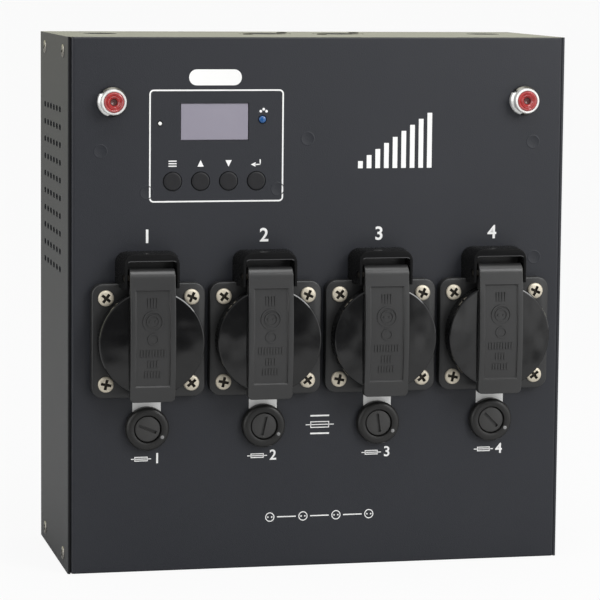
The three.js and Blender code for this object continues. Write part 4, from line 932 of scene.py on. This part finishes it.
lamp_middle = on_front("pilot_bezel_left")
bezel = turned("bezel", lamp_middle, TOWARD_VIEWER, BEZEL_PROFILE, 64)
notches = []
for notch in range(NOTCH_COUNT):
    angle = NOTCH_TURN + 2 * math.pi * notch / NOTCH_COUNT
    notches.append(rod("notch", lamp_middle + Vector((NOTCH_CIRCLE * math.cos(angle), -NOTCH_OUT,
                                                      NOTCH_CIRCLE * math.sin(angle))),
                       TOWARD_VIEWER, NOTCH_RADIUS, NOTCH_LENGTH, 12))
combine(bezel, joined("notches", notches))
smooth(bezel)
coat(bezel, bezel_chrome, satin_ring_and_painted_reflection, painted_shade_foot)
painted_reflection_angle = NOTCH_TURN + math.pi / NOTCH_COUNT
painted_reflection_side = Vector((math.cos(painted_reflection_angle), math.sin(painted_reflection_angle)))
foot_y = front_y - BEZEL_PROFILE[6][1]
# Painted shade and painted reflection: the chrome foot is dark, except for the sector that faces the left,
# which gets the satin finish.
give_faces(bezel, 2, lambda at, normal: foot_y < at.y < front_y)
give_faces(bezel, 1, lambda at, normal: at.y < foot_y
           or (at.y < front_y and (at - lamp_middle).xz.normalized().dot(painted_reflection_side) > PAINTED_REFLECTION_SHARE))
lens = turned("lens", lamp_middle, TOWARD_VIEWER, LENS_PROFILE, 48)
smooth(lens, 20)
coat(lens, red_lens, lens_core)
give_faces(lens, 1, lambda at, normal: (at - lamp_middle).xz.length < LENS_CORE_RADIUS
           and at.y < front_y - LENS_PROFILE[0][1])
LAMP_SIDES = ("left", "right")
lamp_places = [Matrix.Translation(on_front(f"pilot_bezel_{side}") - lamp_middle) for side in LAMP_SIDES]
for piece, name, node, slot in ((bezel, "bezel_ring_", "pilot_bezel_", "bezel_chrome"),
                                (lens, "lens_red_", "pilot_lens_", "red_lens")):
    for side, copy in zip(LAMP_SIDES, repeat(piece, [name + side for side in LAMP_SIDES], lamp_places)):
        finish_piece(copy, None, "case", node + side, slot=slot)

# Display
# A small unlit liquid crystal display: a grey-lavender pane just behind the window in the cover,
# on a plastic block that stands on the control board.
PANE_RECESS, PANE_GAP, PANE_EDGE = 0.0003, 0.0003, 0.00015
BEZEL_DEPTH, BLOCK_INSET = 0.0014, 0.0009
pane_back = front_y + SHEET + SEAT_GAP
block_front = pane_back + BEZEL_DEPTH / 2
pane = slab("pane", (window_low.x + PANE_GAP, front_y + PANE_RECESS, window_low.z + PANE_GAP),
            (window_high.x - PANE_GAP, block_front, window_high.z - PANE_GAP))
round_edges(pane, lambda at, along: at.y < front_y + SHEET / 2, PANE_EDGE, 2)
display_frame = slab("display_frame", (module_low.x, pane_back, module_low.z),
                     (module_high.x, pane_back + BEZEL_DEPTH, module_high.z))
display_block = slab("display_block", (module_low.x + BLOCK_INSET, block_front, module_low.z + BLOCK_INSET),
                     (module_high.x - BLOCK_INSET, module_high.y, module_high.z - BLOCK_INSET))
display_glass = surface("unlit_display_glass", (0.252, 0.236, 0.288), (0.280, 0.264, 0.316),
                        (0.28, 0.36), 1500, clouds=40, stops=WIDE_STOPS)
finish_piece(joined("display_pane", [pane, display_frame, display_block]), display_glass, "case",
             "display_module", slot="display_glass")

# Push buttons
# Four round black keys that stand a little proud of the cover. A collar behind the cover holds
# each one, and its stem presses a key switch on the control board.
STEM_RADIUS, COLLAR_RADIUS, COLLAR_THICKNESS, BUTTON_RADIUS = 0.0024, 0.0050, 0.001, 0.0040
BUTTON_FACE = ((0.0039, 0.00035), (0.0036, 0.00047), (0.0032, 0.0005), (0.0002, 0.00034))
BUTTON_EDGE_OUT = 0.00015
stem_out = front_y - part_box("button_menu")[1].y
collar_out = -(SHEET + SEAT_GAP)
button_profile = ((STEM_RADIUS, stem_out), (STEM_RADIUS, collar_out - COLLAR_THICKNESS),
                  (COLLAR_RADIUS, collar_out - COLLAR_THICKNESS), (COLLAR_RADIUS, collar_out),
                  (BUTTON_RADIUS, collar_out), (BUTTON_RADIUS, BUTTON_EDGE_OUT), *BUTTON_FACE)
button_plastic = surface("black_key_plastic", (0.0078, 0.0079, 0.0094), (0.0104, 0.0105, 0.0122),
                         (0.42, 0.55), 2800, 0.00006, specular=0.32)
button = turned("button", on_front("button_menu"), TOWARD_VIEWER, button_profile, 48)
smooth(button)
button_places = [Matrix.Translation(on_front(node) - on_front("button_menu")) for node in BUTTONS]
keys = repeat(button, [node.replace("button", "key") for node in BUTTONS], button_places)
for node, key in zip(BUTTONS, keys):
    finish_piece(key, button_plastic, "press_" + node, node, slot="button_plastic")

# Signal lights
# A blue diode shows that a signal arrives and a small white one that the pack is on. Both stand
# on the control board and reach through the cover.
DIODE_RIM, DIODE_RIM_LENGTH = 0.0005, 0.0024
DIODE_SHARES = ((1, 0.3), (0.92, 0.65), (0.7, 0.88), (0.4, 0.98), (0.05, 1))
DIODES = (
    ("blue", "signal_led", "blue_lens", 0.0016, 0.0009, (0.004, 0.056, 0.19), (0.008, 0.094, 0.29)),
    ("white", "status_led", "white_lens", 0.0008, 0.0002, (0.82, 0.82, 0.80), (0.92, 0.92, 0.90)))

for colour, node, slot, radius, proud, dark, light in DIODES:
    foot = front_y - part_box(node)[1].y
    diode = turned(colour + "_light", on_front(node), TOWARD_VIEWER,
                   [(radius + DIODE_RIM, foot), (radius + DIODE_RIM, foot + DIODE_RIM_LENGTH),
                    (radius, foot + DIODE_RIM_LENGTH)]
                   + [(radius * out, proud * up) for out, up in DIODE_SHARES], 32)
    smooth(diode, 50)
    epoxy = surface(colour + "_diode_lens", dark, light, (0.15, 0.3), 900, clouds=600,
                    stops=WIDE_STOPS, coat_weight=0.5)
    finish_piece(diode, epoxy, "case", node, slot=slot)

# Signal connectors
# Two three-pin round connectors under the top plate, an input with pins and an output with
# sockets. Each shows the rim of its black shell in its hole and is held by two screws.
CONNECTOR_RING, CONNECTOR_BODY, CONNECTOR_BORE = 0.0117, 0.0112, 0.00965
CONNECTOR_EDGE, CONNECTOR_LIP, CONNECTOR_DEPTH = 0.0004, 0.0003, 0.022
CONNECTOR_FLANGE, CONNECTOR_FLANGE_CORNER = Vector((0.026, 0.031, 0.002)), 0.003
BORE_DEPTH, INSERT_RADIUS, PIN_SIZE, PIN_CIRCLE = 0.015, 0.0077, 0.0012, 0.0054
PIN_ANGLES = (60, 180, 300)
SOCKET_CLEARANCE, SOCKET_LENGTH = 0.0003, 0.020
INSERT_PROFILE = ((INSERT_RADIUS, -0.016), (INSERT_RADIUS, -0.0009), (INSERT_RADIUS - 0.0004, -0.0006))
CONTACT_PROFILES = {
    "signal_input": ((PIN_SIZE, -0.016), (PIN_SIZE, -0.0056), (PIN_SIZE * 0.5, -0.005)),
    "signal_output": ((PIN_SIZE + 0.00025, -0.0098), (PIN_SIZE + 0.00025, -0.0016), (PIN_SIZE, -0.0014),
                      (PIN_SIZE * 0.75, -0.0014), (PIN_SIZE * 0.75, -0.0090))}
CONNECTOR_SCREW_AT, CONNECTOR_SCREW_TURN = Vector((0.0105, 0.0125, 0)), 0.5
CONNECTOR_SCREW_HEAD, CONNECTOR_SCREW_SHANK = (0.0024, 0.0004), (0.0014, 0.0060)

connector_plastic = surface("connector_plastic", (0.0135, 0.0136, 0.0138), (0.0180, 0.0181, 0.0183),
                            (0.38, 0.52), 2600, 0.00008)
under = -(SHEET + SEAT_GAP)
ring_under = under - CONNECTOR_FLANGE.z / 2
for node, contact_profile in CONTACT_PROFILES.items():
    middle = Vector((*middle_of(node).xy, cover_high.z))
    half_flange = CONNECTOR_FLANGE / 2
    flange_middle = middle + UPWARD * (under - half_flange.z)
    shell = slab("connector", flange_middle - half_flange, flange_middle + half_flange)
    round_edges(shell, lambda at, along: abs(along.z) > NEARLY_ONE, CONNECTOR_FLANGE_CORNER, 5)
    combine(shell, turned("connector_body", middle, UPWARD, [
        (CONNECTOR_BODY, under - CONNECTOR_DEPTH), (CONNECTOR_BODY, ring_under),
        (CONNECTOR_RING, ring_under), (CONNECTOR_RING, -CONNECTOR_EDGE),
        (CONNECTOR_RING - CONNECTOR_EDGE, -SEAT_GAP), (CONNECTOR_BORE + CONNECTOR_LIP, -SEAT_GAP),
        (CONNECTOR_BORE, -CONNECTOR_EDGE), (CONNECTOR_BORE, -BORE_DEPTH)], 48), "UNION")
    pin_places = [middle + PIN_CIRCLE * Vector((math.sin(angle), math.cos(angle), 0))
                  for angle in map(math.radians, PIN_ANGLES)]
    if node == "signal_output":
        combine(shell, turned("insert", middle, UPWARD, INSERT_PROFILE, 40), "UNION")
        combine(shell, joined("socket_bores", [
            rod("socket_bore", place, UPWARD, PIN_SIZE + SOCKET_CLEARANCE, SOCKET_LENGTH, 16)
            for place in pin_places]))
    smooth(shell)
    finish_piece(shell, connector_plastic, "case", node, slot="connector_plastic")
    metal_contacts = joined(node + "_contacts", [
        turned("contact", place, UPWARD, contact_profile, 16) for place in pin_places])
    smooth(metal_contacts)
    finish_piece(metal_contacts, nickel_plate, "case", slot="bright_steel")
    screw = pan_screw("connector_screw", CONNECTOR_SCREW_HEAD, CONNECTOR_SCREW_SHANK)
    screw_places = [Matrix.Translation(middle + side * CONNECTOR_SCREW_AT)
                    @ Matrix.Rotation(-math.pi / 2, 4, "X")
                    @ Matrix.Rotation(CONNECTOR_SCREW_TURN + side, 4, "Y")
                    for side in (-1, 1)]
    screws = joined(node + "_screws", repeat(screw, ["screw"] * 2, screw_places))
    finish_piece(screws, dark_steel_and_recess_shade, "case", slot="bright_steel")

# Boards, transformer, terminals and heat sink
# The inside shows only through the vents and the holes, so these keep their own shapes and get
# the finish of the real thing: green boards, black epoxy, varnished iron, green terminals.
circuit_board = surface("green_circuit_board", (0.014, 0.080, 0.040), (0.022, 0.110, 0.055),
                        (0.25, 0.42), 900, 0.00005, clouds=60)
terminal_plastic = surface("green_terminal_plastic", (0.040, 0.170, 0.085), (0.055, 0.210, 0.105),
                           (0.38, 0.5), 1800, 0.00005)
black_epoxy = surface("black_epoxy", (0.012, 0.012, 0.012), (0.020, 0.020, 0.020), (0.45, 0.6), 2600,
                      0.00008)
varnished_iron = surface("varnished_iron_core", (0.090, 0.080, 0.066), (0.150, 0.138, 0.118),
                         (0.35, 0.55), 1500, 0.00008, clouds=90)
sink_aluminium = metal("extruded_aluminium", (0.62, 0.64, 0.66), (0.32, 0.46), 1400)
for node, material in (("control_board", circuit_board), ("power_board", circuit_board),
                       ("terminal_block", terminal_plastic), ("supply_transformer", varnished_iron),
                       ("heat_sink", sink_aluminium),
                       *((f"power_switch_{number}", black_epoxy) for number in CHANNELS)):
    keep_node(node, material)

# Studio
# A white table top that ends a little in front of the pack, soft lamps at the upper right and
# overhead, and white surroundings behind and to both sides, as in a product photograph.
FLOOR_LOW, FLOOR_HIGH, FLOOR_GLOW = Vector((-20, -0.695, 0)), Vector((20, 60, 0)), 0.92
FLOOR_TONE, FLOOR_ROUGH, FLOOR_SPECULAR = (0.62, 0.62, 0.62, 1), 0.9, 0.1
LAMPS = (("key", (0.55, -0.75, 0.62), (0, 0, 0.12), 0.45, 4.6),
         ("overhead", (0.0, -0.35, 1.0), (0, 0, 0.10), 0.5, 3.0))
DIFFUSE_SKY, FRONT_SKY, BACK_SKY = 0.72, 0.08, 0.81
WHITE, WARM_WHITE = (1, 1, 1, 1), (1, 1, 0.79, 1)


def add_node(tree, kind, inputs, **settings):
    """Adds a shader node, whose inputs are plain values or other nodes' outputs. Gives its outputs."""
    node = tree.nodes.new(kind)
    for key, value in settings.items():
        setattr(node, key, value)
    for socket, value in inputs.items():
        if isinstance(value, bpy.types.NodeSocket):
            tree.links.new(value, node.inputs[socket])
        else:
            node.inputs[socket].default_value = value
    return node.outputs


bpy.ops.object.select_all(action="DESELECT")
bpy.ops.mesh.primitive_plane_add(size=1, location=(FLOOR_LOW + FLOOR_HIGH) / 2)
floor = bpy.context.object
floor.scale = (*(FLOOR_HIGH - FLOOR_LOW).xy, 1)
settled("floor")
floor_paper, floor_tree, floor_shader = new_material("white_floor")
for socket, value in (("Base Color", FLOOR_TONE), ("Roughness", FLOOR_ROUGH),
                      ("Specular IOR Level", FLOOR_SPECULAR)):
    floor_shader.inputs[socket].default_value = value
floor_path = add_node(floor_tree, "ShaderNodeLightPath", {})
floor_share = add_node(floor_tree, "ShaderNodeMath", {
    0: floor_path["Is Camera Ray"], 1: FLOOR_GLOW}, operation="MULTIPLY")
floor_glow = add_node(floor_tree, "ShaderNodeEmission", {"Color": WHITE})
floor_mix = add_node(floor_tree, "ShaderNodeMixShader", {
    "Fac": floor_share["Value"], 1: floor_shader.outputs["BSDF"], 2: floor_glow["Emission"]})
floor_tree.links.new(floor_mix["Shader"], floor_tree.nodes["Material Output"].inputs["Surface"])
coat(floor, floor_paper)

world = bpy.data.worlds.new("studio")
bpy.context.scene.world = world
world.use_nodes = True
sky = world.node_tree
sky_shader = sky.nodes["Background"]
ray = add_node(sky, "ShaderNodeLightPath", {})
direction = add_node(sky, "ShaderNodeTexCoord", {})
toward = add_node(sky, "ShaderNodeSeparateXYZ", {"Vector": direction["Generated"]})


def sky_range(axis, start, end, low, high):
    """A glow that grows from one part of the sky to another, along an axis."""
    return add_node(sky, "ShaderNodeMapRange", {
        "Value": toward[axis], "From Min": start, "From Max": end, "To Min": low, "To Max": high,
    })["Result"]


def sky_math(operation, first, second):
    return add_node(sky, "ShaderNodeMath", {0: first, 1: second}, operation=operation)["Value"]


behind = sky_range("Y", -0.75, 0.15, FRONT_SKY, BACK_SKY)
above = sky_range("Z", 0.05, 0.60, 0, 0.60)
right = sky_range("X", 0.250, 0.285, 0, 0.85)
left = sky_range("X", -0.30, -0.90, 0, 0.45)
far_left = sky_range("X", -0.55, -0.80, 0, 1.9)
far_right = sky_range("X", 0.250, 0.285, 0, 0.45)
in_front = sky_range("Y", 0.10, -0.15, 0, 1)
back_right = sky_math("MULTIPLY", sky_range("X", 0.02, 0.16, 0, 1.3), sky_range("Y", 0.5, 0.9, 0, 1))
around = sky_math("ADD", sky_math("ADD", right, above), left)
from_sides = sky_math("MULTIPLY", sky_math("ADD", far_left, far_right), in_front)
mirrored = sky_math("ADD", sky_math("MINIMUM", sky_math("ADD", behind, around), 1.0),
                    sky_math("ADD", back_right, from_sides))
lit = add_node(sky, "ShaderNodeMix", {
    "Factor": ray["Is Glossy Ray"], "A": DIFFUSE_SKY, "B": mirrored})["Result"]
seen = sky_math("MAXIMUM", ray["Is Camera Ray"], ray["Is Transmission Ray"])
strength = add_node(sky, "ShaderNodeMix", {"Factor": seen, "A": lit, "B": 1.0})["Result"]
warmth = sky_math("MULTIPLY", ray["Is Glossy Ray"], sky_range("Y", -0.2, 0.3, 0, 1))
tint = add_node(sky, "ShaderNodeMix", {"A": WHITE, "B": WARM_WHITE, "Factor": warmth},
                data_type="RGBA")["Result"]
sky.links.new(strength, sky_shader.inputs["Strength"])
sky.links.new(tint, sky_shader.inputs["Color"])

for name, place, aim, size, power in LAMPS:
    lamp_data = bpy.data.lights.new(name, "AREA")
    lamp_data.energy = power
    lamp_data.size = size
    lamp = bpy.data.objects.new(name, lamp_data)
    bpy.context.scene.collection.objects.link(lamp)
    toward_pack = Vector(aim) - Vector(place)
    lamp.matrix_world = (Matrix.Translation(place)
                         @ toward_pack.to_track_quat("-Z", "Y").to_matrix().to_4x4())
